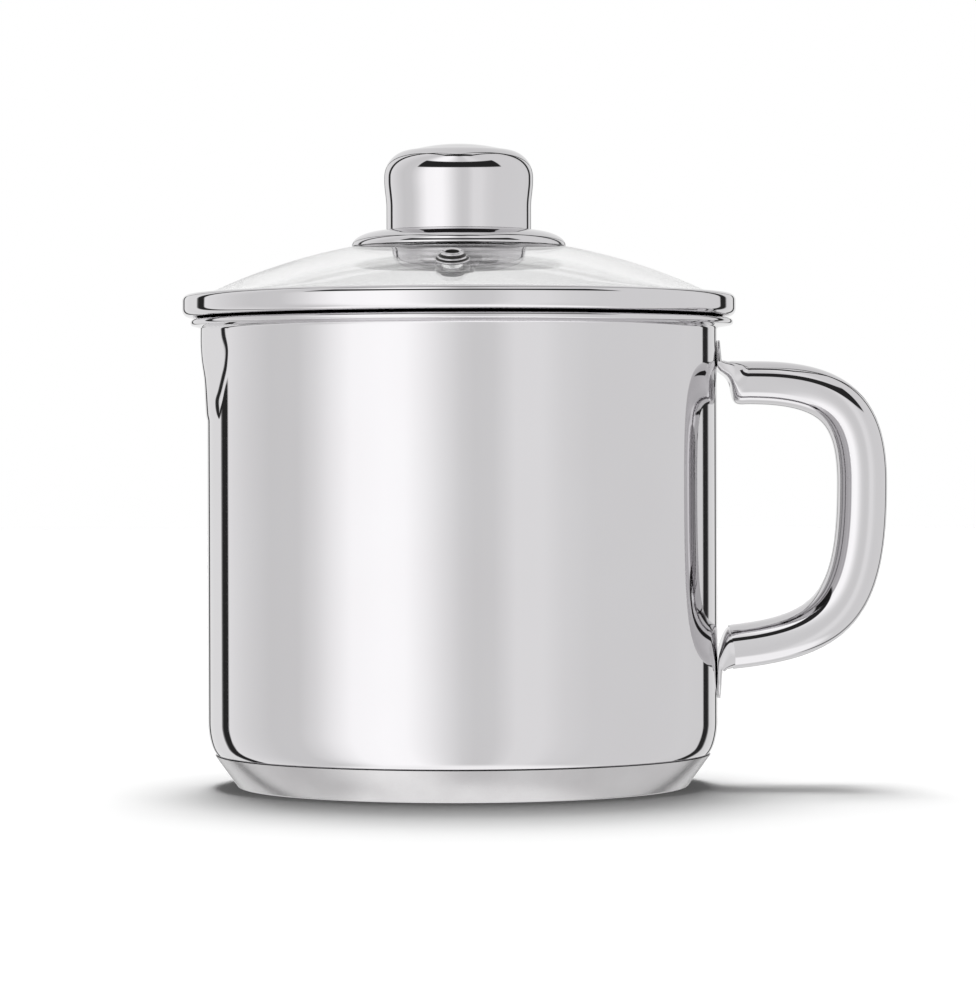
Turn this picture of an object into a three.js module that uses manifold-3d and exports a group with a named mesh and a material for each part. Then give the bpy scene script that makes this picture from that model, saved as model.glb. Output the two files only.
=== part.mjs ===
// Covered milk pan: a drawn stainless steel pot with a pouring lip and a pressed spout, an
// encapsulated base, a hollow loop handle with flattened ends, and a domed glass lid in a rolled
// steel band with a steam eyelet and a drawn steel knob.
// Lengths in millimetres, Z up. The origin is the centre of the base's underside, the handle
// points to +X and the spout to -X.

import * as THREE from 'three';
import { mergeVertices } from 'three/addons/utils/BufferGeometryUtils.js';
import Module from 'manifold-3d';

const wasm = await Module();
wasm.setup();

// Driving sizes of the pot
const insideDiameter = 140;
const wall = 0.6;
const rimHeight = 129.2;

// Clearances: where a piece rests on or fits round another, and in the bonded base and handle
const seatGap = 0.2;
const bondGap = 0.15;

// Pot body below the rim: the long corner curve, the tight turn into the floor, and the lip
const cornerRadius = 21.7;
const cornerTopZ = 18.2;
const floorTurnRadius = 8;
const lipReach = 4.5;
const lipDepth = 3.2;
const lipRootRadius = 1;
const lipEdgeRadius = 0.9;
const lipInnerRadius = 1.3;

// Spout pressed out of the wall below the lip
const spoutProtrusion = 1.9;
const spoutHeight = 24.7;
const spoutTopHalfAngle = 25;
const spoutFootHalfAngle = 16;

// Encapsulated base: the cap climbs round the pot's floor turn, and narrows to the foot
const capSheet = 0.5;
const capWrap = 2.9;
const capRimWidth = 0.35;
const capTaper = 6.4;
const capEdgeRadius = 1.1;
const coreThickness = 5.2;

// Handle: a tube bent to a D in the XZ plane, its ends pressed flat. Its drop is from the rim to the
// middle of the upper arm, and its height is from the upper arm to the lower one
const handleReach = 40.2;
const handleHeight = 73.2;
const handleDrop = 17.7;
const lowerArmRise = 6.3;
const armDepth = 12;
const gripDepth = 13.8;
const tubeWidth = 18;
const tubeSheet = 1;
const tabWidth = 21;
const tabThickness = 1.3;
const tabTipThickness = 0.6;
const upperTabLength = 6;
const lowerTabLength = 8.5;
const ventHoleRadius = 1.2;

// Lid: the glass, and the band that is rolled round its edge and overhangs the pot's lip
const glassThickness = 4.2;
const glassRise = 16.8;
const glassFlatWidth = 7;
const glassEdgePlay = 0.5;
const glassEdgeRadius = 0.8;
const bandOverhang = 1.5;
const bandSheet = 0.6;
const bandStep = 0.9;
const bandTopCornerRadius = 1.9;
const bandBottomCornerRadius = 2.2;
const bandLipWidth = 4.4;
const skirtClearance = 1.2;
const skirtDepth = 7;
const skirtBendRadius = 1.6;
const ledgeWidth = 4.4;

// Steam eyelet, set in the glass between the knob and the front edge
const eyeletInset = 16.6;
const eyeletSideOffset = -1.4;
const eyeletGap = 0.3;
const eyeletFlangeRadius = 4.7;
const eyeletTubeRadius = 2.45;
const eyeletBoreRadius = 1.8;
const eyeletHeight = 2.7;
const eyeletCurlRadius = 3.3;
const eyeletSheet = 0.65;
const eyeletWasherRadius = 4.6;
const eyeletWasherThickness = 0.6;

// Knob stack on the top of the dome, from the glass up
const stackHolePlay = 1;
const gasketThickness = 0.8;
const upperGasketRadius = 9;
const lowerGasketRadius = 6.5;
const washerThickness = 0.8;
const washerRadius = 6;
const rosetteBrim = 9.6;
const rosetteSheet = 0.6;
const knobHeight = 23.9;
const knobNeckRadius = 20.1;
const knobSwell = 0.6;
const knobShoulderRadius = 7.7;
const knobSheet = 0.8;
const bossRadius = 5.5;
const screwRadius = 2.5;
const screwHeadRadius = 4.6;
const screwHeadHeight = 2.8;
const screwLength = 20;
const screwClearance = 0.3;

// Fineness of the turned pieces
const ringSides = 48;
const knobSides = 32;
const smallSides = 20;
const handleSides = 16;
const hollowSides = 12;

const degree = Math.PI / 180;

// Finishes
const polishedSteel = { color: 0xd9dadb, roughness: 0.08, metalness: 1 };
const satinSteel = { color: 0xc6c7c8, roughness: 0.32, metalness: 1 };
const castAluminium = { color: 0xb9bbbd, roughness: 0.45, metalness: 1 };
const temperedGlass = { color: 0xe9eeee, roughness: 0.03, metalness: 0, transparent: true, opacity: 0.3 };
const paleSilicone = { color: 0xdcdcd8, roughness: 0.6, metalness: 0 };

// Shared shapes

function arc(centreR, centreZ, radius, fromDegrees, toDegrees, steps) {
  const points = [];
  for (let i = 0; i <= steps; i += 1) {
    const angle = (fromDegrees + ((toDegrees - fromDegrees) * i) / steps) * degree;
    points.push(new THREE.Vector2(centreR + radius * Math.cos(angle), centreZ + radius * Math.sin(angle)));
  }
  return points;
}

function at(r, z) {
  return new THREE.Vector2(r, z);
}

// A profile in (r, z) that starts and ends on the axis, turned about Z
function turned(profile, sides) {
  const geometry = new THREE.LatheGeometry(profile, sides);
  geometry.rotateX(Math.PI / 2);
  return geometry;
}

// A profile that goes round a ring section, turned about Z
function turnedRing(section, sides) {
  return turned([...section, section[0].clone()], sides);
}

function mesh(name, geometry, finish) {
  const material = new THREE.MeshStandardMaterial(finish);
  const piece = new THREE.Mesh(geometry, material);
  piece.name = name;
  return piece;
}

// A closed mesh as a solid for cutting, and back
function toSolid(geometry) {
  const plain = geometry.clone();
  plain.deleteAttribute('normal');
  plain.deleteAttribute('uv');
  const merged = mergeVertices(plain);
  const index = merged.index.array;
  const triangles = [];
  for (let i = 0; i < index.length; i += 3) {
    const [a, b, c] = [index[i], index[i + 1], index[i + 2]];
    if (a !== b && b !== c && c !== a) triangles.push(a, b, c);
  }
  return new wasm.Manifold(new wasm.Mesh({
    numProp: 3,
    vertProperties: new Float32Array(merged.attributes.position.array),
    triVerts: new Uint32Array(triangles),
  }));
}

function fromSolid(solid) {
  const result = solid.getMesh();
  const geometry = new THREE.BufferGeometry();
  geometry.setAttribute('position', new THREE.BufferAttribute(new Float32Array(result.vertProperties), 3));
  geometry.setIndex(new THREE.BufferAttribute(new Uint32Array(result.triVerts), 1));
  geometry.computeVertexNormals();
  return geometry;
}

// A drill bit along Z between two heights
function drill(radius, fromZ, toZ, sides) {
  return turned([at(0, fromZ), at(radius, fromZ), at(radius, toZ), at(0, toZ)], sides);
}

// Pot body

const insideRadius = insideDiameter / 2;
const outsideRadius = insideRadius + wall;
const floorUnderZ = capSheet + bondGap + coreThickness + bondGap;
const floorTopZ = floorUnderZ + wall;
const cornerCentreR = outsideRadius - cornerRadius;
const turnCentreZ = floorUnderZ + floorTurnRadius;
const turnDropZ = cornerTopZ - turnCentreZ;
const turnCentreR = cornerCentreR + Math.sqrt((cornerRadius - floorTurnRadius) ** 2 - turnDropZ ** 2);
const tangentDegrees = Math.atan2(-turnDropZ, turnCentreR - cornerCentreR) / degree;
const lipTipRadius = outsideRadius + lipReach;
const lipUnderZ = rimHeight - lipDepth;

// How far out the spout stands over its height, from its foot to the lip
const spoutRiseShares = [[0, 0], [0.06, 0.17], [0.24, 0.32], [0.46, 0.47], [0.68, 0.85], [0.86, 1], [1, 1]];
const spoutFootZ = lipUnderZ - spoutHeight;

function riseShare(z) {
  const height = (z - spoutFootZ) / spoutHeight;
  if (height <= 0) return 0;
  if (z > lipUnderZ) return (1 + Math.cos((Math.PI * Math.min(z - lipUnderZ, lipDepth)) / lipDepth)) / 2;
  const next = spoutRiseShares.findIndex(([share]) => share >= height);
  const [share0, rise0] = spoutRiseShares[Math.max(next - 1, 0)];
  const [share1, rise1] = spoutRiseShares[next];
  return rise0 + ((rise1 - rise0) * (height - share0)) / Math.max(share1 - share0, Number.EPSILON);
}

// The tool's dent pushes the wall straight outwards; the lip's edge stays round
function spoutPush(x, y, z) {
  const radius = Math.hypot(x, y);
  const angle = Math.abs(Math.atan2(y, -x)) / degree;
  const heightShare = THREE.MathUtils.clamp((z - spoutFootZ) / spoutHeight, 0, 1);
  const halfAngle = THREE.MathUtils.lerp(spoutFootHalfAngle, spoutTopHalfAngle, heightShare);
  const across = Math.max(1 - (angle / halfAngle) ** 2, 0) ** 1.5;
  const lipFade = 1 - THREE.MathUtils.clamp((radius - outsideRadius) / lipReach, 0, 1);
  return spoutProtrusion * riseShare(z) * across * lipFade;
}

function pressSpout(geometry) {
  const position = geometry.attributes.position;
  for (let i = 0; i < position.count; i += 1) {
    const x = position.getX(i);
    const y = position.getY(i);
    const radius = Math.hypot(x, y);
    if (radius < insideRadius / 2) continue;
    const scale = (radius + spoutPush(x, y, position.getZ(i))) / radius;
    position.setXY(i, x * scale, y * scale);
  }
  return geometry;
}

function potBody() {
  const spoutRings = spoutRiseShares.map(([share]) => spoutFootZ + share * spoutHeight);
  const outer = [
    at(0, floorUnderZ),
    ...arc(turnCentreR, turnCentreZ, floorTurnRadius, -90, tangentDegrees, 3),
    ...arc(cornerCentreR, cornerTopZ, cornerRadius, tangentDegrees, 0, 3).slice(1),
    ...spoutRings.map((z) => at(outsideRadius, z)),
  ];
  const lip = [
    ...arc(outsideRadius + lipRootRadius, lipUnderZ, lipRootRadius, 180, 100, 1).slice(1),
    ...arc(lipTipRadius - lipEdgeRadius, rimHeight - lipEdgeRadius, lipEdgeRadius, -70, 60, 3),
    at(insideRadius + 2 * lipInnerRadius, rimHeight),
    ...arc(insideRadius + lipInnerRadius, rimHeight - lipInnerRadius, lipInnerRadius, 90, 180, 3),
  ];
  const inner = [
    ...spoutRings.map((z) => at(insideRadius, z)).reverse(),
    ...arc(cornerCentreR, cornerTopZ, cornerRadius - wall, 0, tangentDegrees, 2),
    ...arc(turnCentreR, turnCentreZ, floorTurnRadius - wall, tangentDegrees, -90, 3).slice(1),
    at(0, floorTopZ),
  ];
  return mesh('pan_body', pressSpout(turned([...outer, ...lip, ...inner], ringSides)), polishedSteel);
}

// Encapsulated base: an aluminium disc under the floor, closed in by a pressed steel cap

// The body's underside as the cap meets it, with the bond between them
function seatRadius(z) {
  const drop = Math.max(turnCentreZ - z, 0);
  return turnCentreR + Math.sqrt(Math.max((floorTurnRadius + bondGap) ** 2 - drop ** 2, 0));
}

const capHeight = floorUnderZ + capWrap;
const capTopRadius = seatRadius(capHeight) + capRimWidth;
const capBottomRadius = capTopRadius - capTaper;
const capSlope = capTaper / capHeight;
const capSideSheet = capSheet * Math.hypot(1, capSlope);

function capInsideRadius(z) {
  return capBottomRadius + capSlope * z - capSideSheet;
}

function baseCore() {
  const bottomZ = capSheet + bondGap;
  const topZ = floorUnderZ - bondGap;
  const bottomRadius = capInsideRadius(bottomZ) - bondGap;
  const topRadius = Math.min(capInsideRadius(topZ) - bondGap, turnCentreR);
  const profile = [at(0, bottomZ), at(bottomRadius, bottomZ), at(topRadius, topZ), at(0, topZ)];
  return mesh('base_core', turned(profile, ringSides), castAluminium);
}

function baseCap() {
  const rimSteps = 2;
  const rim = [];
  for (let i = 0; i <= rimSteps; i += 1) {
    const z = capHeight - (i * (capHeight - floorUnderZ)) / (2 * rimSteps);
    rim.push(at(Math.max(seatRadius(z), capInsideRadius(z)), z));
  }
  const slopeDegrees = Math.atan(1 / capSlope) / degree;
  const edgeCentreR = capBottomRadius - capEdgeRadius * Math.tan((slopeDegrees / 2) * degree);
  const profile = [
    at(0, 0),
    ...arc(edgeCentreR, capEdgeRadius, capEdgeRadius, -90, slopeDegrees - 90, 3),
    at(capTopRadius, capHeight),
    ...rim,
    at(capInsideRadius(capSheet), capSheet),
    at(0, capSheet),
  ];
  return mesh('base_cap', turned(profile, ringSides), satinSteel);
}

// Handle

const wallX = outsideRadius + bondGap;
const gripX = outsideRadius + handleReach;
const handleTopZ = rimHeight - handleDrop;
const lowerArmZ = handleTopZ - handleHeight;
const armTopZ = handleTopZ + armDepth / 2;
const upperTabTipZ = armTopZ + upperTabLength;

// The bend's two halves, as places and handles in shares of its reach and height
const gripCentreShare = 0.38;
const shoulderStartShare = 0.233;
const shoulderHandleShares = [0.6, 0.27];
const haunchHandleShares = [0.478, 0.69];
const lowerStartShare = 0.105;

function bend() {
  const startX = outsideRadius + shoulderStartShare * handleReach;
  const gripZ = handleTopZ - gripCentreShare * handleHeight;
  const rise = new THREE.Vector2(Math.cos(lowerArmRise * degree), Math.sin(lowerArmRise * degree));
  const lowerEnd = at(outsideRadius + lowerStartShare * handleReach, lowerArmZ);
  const shoulder = new THREE.CubicBezierCurve(
    at(startX, handleTopZ),
    at(startX + shoulderHandleShares[0] * handleReach, handleTopZ),
    at(gripX, gripZ + shoulderHandleShares[1] * handleHeight),
    at(gripX, gripZ),
  );
  const haunch = new THREE.CubicBezierCurve(
    at(gripX, gripZ),
    at(gripX, gripZ - haunchHandleShares[0] * handleHeight),
    lowerEnd.clone().addScaledVector(rise, haunchHandleShares[1] * handleReach),
    lowerEnd,
  );
  return { shoulder, haunch };
}

// A cut across the tube: where it meets the inside and the outside of the loop, how wide it is, how
// square its corners are, and how far it is wrapped round the pot
function cut(inner, outer, width, squareness, wrap) {
  return { inner, outer, width, squareness, wrap };
}

const tubeSquareness = 2.4;
const tabSquareness = 5;

function tubeCut(point, tangent, depth, width) {
  const outwards = at(-tangent.y, tangent.x);
  const inner = point.clone().addScaledVector(outwards, -depth / 2);
  const outer = point.clone().addScaledVector(outwards, depth / 2);
  return cut(inner, outer, width, tubeSquareness, 0);
}

// Cuts along the bend, the tube deepest where the hand closes round it
function tubeCuts(sheet, steps) {
  const { shoulder, haunch } = bend();
  const cuts = [];
  [shoulder, haunch].forEach((curve, half) => {
    for (let i = half; i <= steps; i += 1) {
      const tangent = curve.getTangent(i / steps);
      const depth = armDepth + (gripDepth - armDepth) * Math.abs(tangent.y);
      cuts.push(tubeCut(curve.getPoint(i / steps), tangent, depth - 2 * sheet, tubeWidth - 2 * sheet));
    }
  });
  return cuts;
}

// The flat tongue that lies on the wall, from its rounded tip to the tube
const tongueShares = [0.05, 0.2, 0.5, 1];

function tongueCuts(tipZ, length, away) {
  return tongueShares.map((share) => {
    const z = tipZ - away * share * length;
    const thickness = THREE.MathUtils.lerp(tabTipThickness, tabThickness, share);
    const width = tabWidth * Math.sqrt(1 - (1 - share) ** 2);
    return cut(at(wallX, z), at(wallX + thickness, z), width, tabSquareness, 1);
  });
}

// The pressed ends, where the flat tongue opens into the tube: each row gives the inner and the outer
// place in shares of the arm's depth, measured from the wall and from the arm's outer line, then the
// share of the way from flat to full width, and the wrap
const upperRootShares = [
  [0, 0.14, 0.15, -0.01, 0, 1],
  [0.06, 0.25, 0.24, 0.01, 0.1, 0.7],
  [0.2, 0.37, 0.32, 0, 0.3, 0.35],
  [0.28, 0.53, 0.41, 0, 0.55, 0.1],
  [0.32, 0.74, 0.49, 0, 0.8, 0],
  [0.37, 0.92, 0.59, 0, 0.95, 0],
  [0.49, 1, 0.7, 0, 1, 0],
];
const lowerRootShares = [
  [0.29, 0.98, 0.4, 0.01, 1, 0],
  [0.2, 0.92, 0.33, 0.005, 0.85, 0],
  [0.12, 0.76, 0.26, 0, 0.6, 0.15],
  [0.06, 0.54, 0.2, -0.01, 0.35, 0.45],
  [0.01, 0.28, 0.15, -0.05, 0.1, 0.85],
];

function rootCuts(rows, outerLineZ, inwards) {
  return rows.map(([innerOut, innerIn, outerOut, outerIn, opening, wrap]) => {
    const inner = at(wallX + innerOut * armDepth, outerLineZ + inwards * innerIn * armDepth);
    const outer = at(wallX + outerOut * armDepth, outerLineZ + inwards * outerIn * armDepth);
    const width = THREE.MathUtils.lerp(tabWidth, tubeWidth, opening);
    const squareness = THREE.MathUtils.lerp(tabSquareness, tubeSquareness, opening);
    return cut(inner, outer, width, squareness, wrap);
  });
}

// Skins a row of cuts with a closed surface
function loft(cuts, sides) {
  const places = [];
  for (const { inner, outer, width, squareness, wrap } of cuts) {
    for (let i = 0; i < sides; i += 1) {
      const angle = (2 * Math.PI * i) / sides;
      const [c, s] = [Math.cos(angle), Math.sin(angle)];
      const depthShare = (1 + Math.sign(c) * Math.abs(c) ** (2 / squareness)) / 2;
      const y = (width / 2) * Math.sign(s) * Math.abs(s) ** (2 / squareness);
      const middle = inner.clone().lerp(outer, depthShare);
      const wrapIn = wrap * (outsideRadius - Math.sqrt(outsideRadius ** 2 - y ** 2));
      places.push(middle.x - wrapIn, y, middle.y);
    }
  }
  const ends = [cuts[0], cuts[cuts.length - 1]];
  for (const { inner, outer } of ends) {
    const middle = inner.clone().lerp(outer, 1 / 2);
    places.push(middle.x, 0, middle.y);
  }
  const index = [];
  const firstHub = cuts.length * sides;
  for (let k = 0; k < sides; k += 1) {
    const next = (k + 1) % sides;
    for (let j = 0; j + 1 < cuts.length; j += 1) {
      const [a, b] = [j * sides + k, j * sides + next];
      const [c, d] = [a + sides, b + sides];
      index.push(a, c, b, b, c, d);
    }
    const last = (cuts.length - 1) * sides;
    index.push(firstHub, k, next, firstHub + 1, last + next, last + k);
  }
  const geometry = new THREE.BufferGeometry();
  geometry.setAttribute('position', new THREE.BufferAttribute(new Float32Array(places), 3));
  geometry.setIndex(index);
  return geometry;
}

function handle() {
  const steps = 9;
  const hollowSteps = 7;
  const lowerLineZ = lowerArmZ - armDepth / 2;
  const lowerTabTipZ = lowerLineZ - lowerTabLength;
  const skin = loft([
    ...tongueCuts(upperTabTipZ, upperTabLength, 1),
    ...rootCuts(upperRootShares, armTopZ, -1),
    ...tubeCuts(0, steps),
    ...rootCuts(lowerRootShares, lowerLineZ, 1),
    ...tongueCuts(lowerTabTipZ, lowerTabLength, -1).reverse(),
  ], handleSides);
  const hollow = loft(tubeCuts(tubeSheet, hollowSteps), hollowSides);
  const vent = drill(ventHoleRadius, 0, handleReach / 2, smallSides / 2);
  vent.rotateY(Math.PI / 2);
  vent.translate(wallX, 0, handleTopZ);
  const tube = toSolid(skin).subtract(toSolid(hollow)).subtract(toSolid(vent));
  return mesh('handle', fromSolid(tube), polishedSteel);
}

// Lid glass

const ledgeZ = rimHeight + seatGap;
const bandRadius = lipTipRadius + bandOverhang;
const bandBottomZ = ledgeZ + bandStep;
const glassBottomZ = bandBottomZ + bandSheet + seatGap;
const glassTopZ = glassBottomZ + glassThickness;
const bandTopZ = glassTopZ + seatGap + bandSheet;
const glassRadius = bandRadius - bandSheet - glassEdgePlay;
const glassDomeRadius = bandRadius - glassFlatWidth;
const glassApexZ = glassTopZ + glassRise;
const stackHoleRadius = screwRadius + stackHolePlay;

// The sphere of the dome takes up most of the rise, and the turn at its foot the rest
const domeRiseShare = 0.94;
const domeSag = domeRiseShare * glassRise;
const domeSphereRadius = (glassDomeRadius ** 2 + domeSag ** 2) / (2 * domeSag);
const domeCentreZ = glassApexZ - domeSphereRadius;

function domeZ(r, sphereRadius) {
  return domeCentreZ + Math.sqrt(sphereRadius ** 2 - r ** 2);
}

// The dome from the stack's hole outwards, on the outer or the inner sphere
const domeSteps = 5;

function domeRun(sphereRadius) {
  const run = [];
  for (let i = 0; i <= domeSteps; i += 1) {
    const r = THREE.MathUtils.lerp(stackHoleRadius, glassDomeRadius, i / domeSteps);
    run.push(at(r, domeZ(r, sphereRadius)));
  }
  return run;
}

// The dome's foot turns into the flat edge that the band grips
function domeFoot(sphereRadius, edgeZ) {
  const start = at(glassDomeRadius, domeZ(glassDomeRadius, sphereRadius));
  const slope = glassDomeRadius / Math.sqrt(sphereRadius ** 2 - glassDomeRadius ** 2);
  const reach = (start.y - edgeZ) / slope;
  const corner = at(start.x + reach, edgeZ);
  const turn = new THREE.QuadraticBezierCurve(start, corner, at(start.x + 2 * reach, edgeZ));
  return turn.getPoints(3).slice(1);
}

function eyeletFrame() {
  const frame = new THREE.Group();
  const eyeletDistance = glassDomeRadius - eyeletInset;
  const distance = Math.hypot(eyeletDistance, eyeletSideOffset);
  const tilt = Math.asin(distance / domeSphereRadius);
  frame.position.set(0, 0, domeCentreZ);
  frame.rotation.set(tilt, 0, Math.atan2(eyeletSideOffset, eyeletDistance), 'ZXY');
  frame.updateMatrix();
  return frame;
}

function lidGlass() {
  const innerSphere = domeSphereRadius - glassThickness;
  const section = [
    ...domeRun(innerSphere),
    ...domeFoot(innerSphere, glassBottomZ),
    at(glassRadius - glassEdgeRadius, glassBottomZ),
    at(glassRadius, glassBottomZ + glassEdgeRadius),
    at(glassRadius, glassTopZ - glassEdgeRadius),
    at(glassRadius - glassEdgeRadius, glassTopZ),
    ...domeFoot(domeSphereRadius, glassTopZ).reverse(),
    ...domeRun(domeSphereRadius).reverse(),
  ];
  const hole = drill(
    eyeletTubeRadius + eyeletGap,
    domeSphereRadius - 2 * glassThickness,
    domeSphereRadius + glassThickness,
    smallSides,
  );
  hole.applyMatrix4(eyeletFrame().matrix);
  const glass = toSolid(turnedRing(section, ringSides)).subtract(toSolid(hole));
  return mesh('lid_glass', fromSolid(glass), temperedGlass);
}

// Lid band: one strip of sheet rolled over the glass edge, stepped under it, and turned down as the
// skirt that centres the lid in the pot
function lidBand() {
  const skirtRadius = insideRadius - skirtClearance;
  const bendR = skirtRadius + skirtBendRadius;
  const bendZ = ledgeZ - skirtBendRadius;
  const skirtEndZ = bendZ - skirtDepth;
  const topCornerR = bandRadius - bandTopCornerRadius;
  const topCornerZ = bandTopZ - bandTopCornerRadius;
  const bottomCornerR = bandRadius - bandBottomCornerRadius;
  const bottomCornerZ = bandBottomZ + bandBottomCornerRadius;
  const ledgeEndR = skirtRadius + ledgeWidth;
  const lipEdgeR = bandRadius - bandLipWidth;
  const stepRun = bottomCornerR - ledgeEndR;
  const stepLength = Math.hypot(stepRun, bandStep);
  const backR = (-bandStep * bandSheet) / stepLength;
  const backZ = (stepRun * bandSheet) / stepLength;
  const section = [
    at(skirtRadius - bandSheet, skirtEndZ),
    at(skirtRadius, skirtEndZ),
    ...arc(bendR, bendZ, skirtBendRadius, 180, 90, 2),
    at(ledgeEndR, ledgeZ),
    ...arc(bottomCornerR, bottomCornerZ, bandBottomCornerRadius, -90, 0, 3),
    ...arc(topCornerR, topCornerZ, bandTopCornerRadius, 0, 90, 3),
    at(lipEdgeR, bandTopZ),
    at(lipEdgeR, bandTopZ - bandSheet),
    ...arc(topCornerR, topCornerZ, bandTopCornerRadius - bandSheet, 90, 0, 2),
    ...arc(bottomCornerR, bottomCornerZ, bandBottomCornerRadius - bandSheet, 0, -90, 2),
    at(ledgeEndR + backR, ledgeZ + backZ),
    ...arc(bendR, bendZ, skirtBendRadius + bandSheet, 90, 180, 2),
  ];
  return mesh('lid_band', turnedRing(section, ringSides), polishedSteel);
}

// Steam eyelet and the washer it is curled under, both square to the glass

function eyeletPieces() {
  const group = eyeletFrame();
  const seat = domeSphereRadius + eyeletGap;
  const under = domeSphereRadius - glassThickness - eyeletGap;
  const curlTop = under - eyeletWasherThickness - seatGap;
  const top = seat + eyeletHeight;
  const tier = eyeletHeight / 5;
  const ringRadius = eyeletTubeRadius + eyeletSheet;
  const tierRadius = (ringRadius + eyeletFlangeRadius) / 2;
  const section = [
    at(eyeletBoreRadius, curlTop - eyeletSheet),
    at(eyeletCurlRadius, curlTop - eyeletSheet),
    at(eyeletCurlRadius, curlTop),
    at(eyeletTubeRadius, curlTop),
    at(eyeletTubeRadius, seat),
    at(eyeletFlangeRadius, seat),
    at(eyeletFlangeRadius, seat + tier / 2),
    at(tierRadius + tier, seat + 2 * tier),
    at(tierRadius, seat + 2 * tier),
    at(tierRadius - tier / 2, seat + 3 * tier),
    at(ringRadius, seat + 3 * tier),
    at(ringRadius, top - tier),
    at((ringRadius + eyeletTubeRadius) / 2, top),
    at(eyeletTubeRadius, top),
    at(eyeletBoreRadius, top - tier),
  ];
  const washer = [
    at(eyeletTubeRadius + seatGap, under - eyeletWasherThickness),
    at(eyeletWasherRadius, under - eyeletWasherThickness),
    at(eyeletWasherRadius, under),
    at(eyeletTubeRadius + seatGap, under),
  ];
  group.add(mesh('vent_eyelet', turnedRing(section, smallSides), polishedSteel));
  group.add(mesh('vent_washer', turnedRing(washer, smallSides), satinSteel));
  return group;
}

// Knob stack: gasket, rosette and knob above the glass; gasket, washer and screw below it

const upperGasketZ = glassApexZ + seatGap;
const rosetteUnderZ = upperGasketZ + gasketThickness + seatGap;
const rosetteTopZ = rosetteUnderZ + rosetteSheet;
const rosetteShoulderRadius = knobNeckRadius - knobSheet / 2;
const rosetteRadius = knobNeckRadius + rosetteBrim;
const knobRimZ = rosetteTopZ + seatGap;
const knobTopZ = knobRimZ + knobHeight;
const knobInsideTopZ = knobTopZ - knobSheet;
const lowerGasketTopZ = domeZ(lowerGasketRadius, domeSphereRadius - glassThickness) - seatGap;
const washerTopZ = lowerGasketTopZ - gasketThickness - seatGap;
const screwSeatZ = washerTopZ - washerThickness - seatGap;

const screwHoleRadius = screwRadius + screwClearance;

function disc(name, outerRadius, bottomZ, thickness, finish) {
  const section = [
    at(screwHoleRadius, bottomZ),
    at(outerRadius, bottomZ),
    at(outerRadius, bottomZ + thickness),
    at(screwHoleRadius, bottomZ + thickness),
  ];
  return mesh(name, turnedRing(section, smallSides), finish);
}

// A quarter ellipse from the shoulder down to the rim that stands on the glass
function rosette() {
  const rimZ = domeZ(rosetteRadius, domeSphereRadius) + seatGap;
  const width = rosetteRadius - rosetteShoulderRadius;
  const steps = 4;
  const outer = [];
  const inner = [];
  for (let i = 0; i <= steps; i += 1) {
    const angle = (90 * degree * i) / steps;
    const [across, up] = [Math.sin(angle), Math.cos(angle)];
    outer.push(at(rosetteShoulderRadius + width * across, rimZ + (rosetteTopZ - rimZ) * up));
    inner.push(at(
      rosetteShoulderRadius + (width - rosetteSheet) * across,
      rimZ + (rosetteUnderZ - rimZ) * up,
    ));
  }
  const holeRadius = screwRadius + screwClearance;
  const section = [
    at(holeRadius, rosetteUnderZ),
    ...inner,
    ...outer.reverse(),
    at(holeRadius, rosetteTopZ),
  ];
  return mesh('knob_rosette', turnedRing(section, knobSides), polishedSteel);
}

// The drawn shell: a waisted side that swells below a round shoulder, and a crowned top
const bulgeHeightShare = 0.57;
const neckHeightShare = 0.26;
const crownDropShare = 0.07;
const crownEdgeZ = knobTopZ - crownDropShare * knobHeight;
const knobBulgeRadius = knobNeckRadius + knobSwell;
const shoulderR = knobBulgeRadius - knobShoulderRadius;

function crownInsideZ(r) {
  return THREE.MathUtils.lerp(knobInsideTopZ, crownEdgeZ - knobSheet, r / shoulderR);
}

function knobCap() {
  const bulgeZ = knobRimZ + bulgeHeightShare * knobHeight;
  const neckZ = knobRimZ + neckHeightShare * knobHeight;
  const shoulderZ = crownEdgeZ - knobShoulderRadius;
  const swell = new THREE.CubicBezierCurve(
    at(knobNeckRadius, neckZ),
    at(knobNeckRadius, (2 * neckZ + bulgeZ) / 3),
    at(knobBulgeRadius, (neckZ + 2 * bulgeZ) / 3),
    at(knobBulgeRadius, bulgeZ),
  );
  const crown = new THREE.QuadraticBezierCurve(
    at(shoulderR, crownEdgeZ),
    at(shoulderR / 2, knobTopZ),
    at(0, knobTopZ),
  );
  const outer = [
    at(knobNeckRadius, knobRimZ),
    ...swell.getPoints(4),
    ...arc(shoulderR, shoulderZ, knobShoulderRadius, 0, 90, 5),
    ...crown.getPoints(3).slice(1),
  ];
  const innerShoulder = knobShoulderRadius - knobSheet;
  const inner = [
    at(0, knobInsideTopZ),
    at(shoulderR, crownEdgeZ - knobSheet),
    ...arc(shoulderR, shoulderZ, innerShoulder, 90, 0, 3).slice(1),
    at(knobNeckRadius - knobSheet, neckZ),
    at(knobNeckRadius - knobSheet, knobRimZ),
  ];
  return mesh('knob_cap', turned([...inner, ...outer], knobSides), polishedSteel);
}

// The threaded boss welded inside the knob, bored for the screw
function knobBoss() {
  const boreRadius = screwRadius + screwClearance;
  const boreTopZ = screwSeatZ + screwLength + screwClearance;
  const bossTopZ = crownInsideZ(bossRadius) - seatGap;
  const profile = [
    at(0, boreTopZ),
    at(boreRadius, boreTopZ),
    at(boreRadius, knobRimZ),
    at(bossRadius, knobRimZ),
    at(bossRadius, bossTopZ),
    at(0, bossTopZ),
  ];
  return mesh('knob_boss', turned(profile, smallSides), satinSteel);
}

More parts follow.
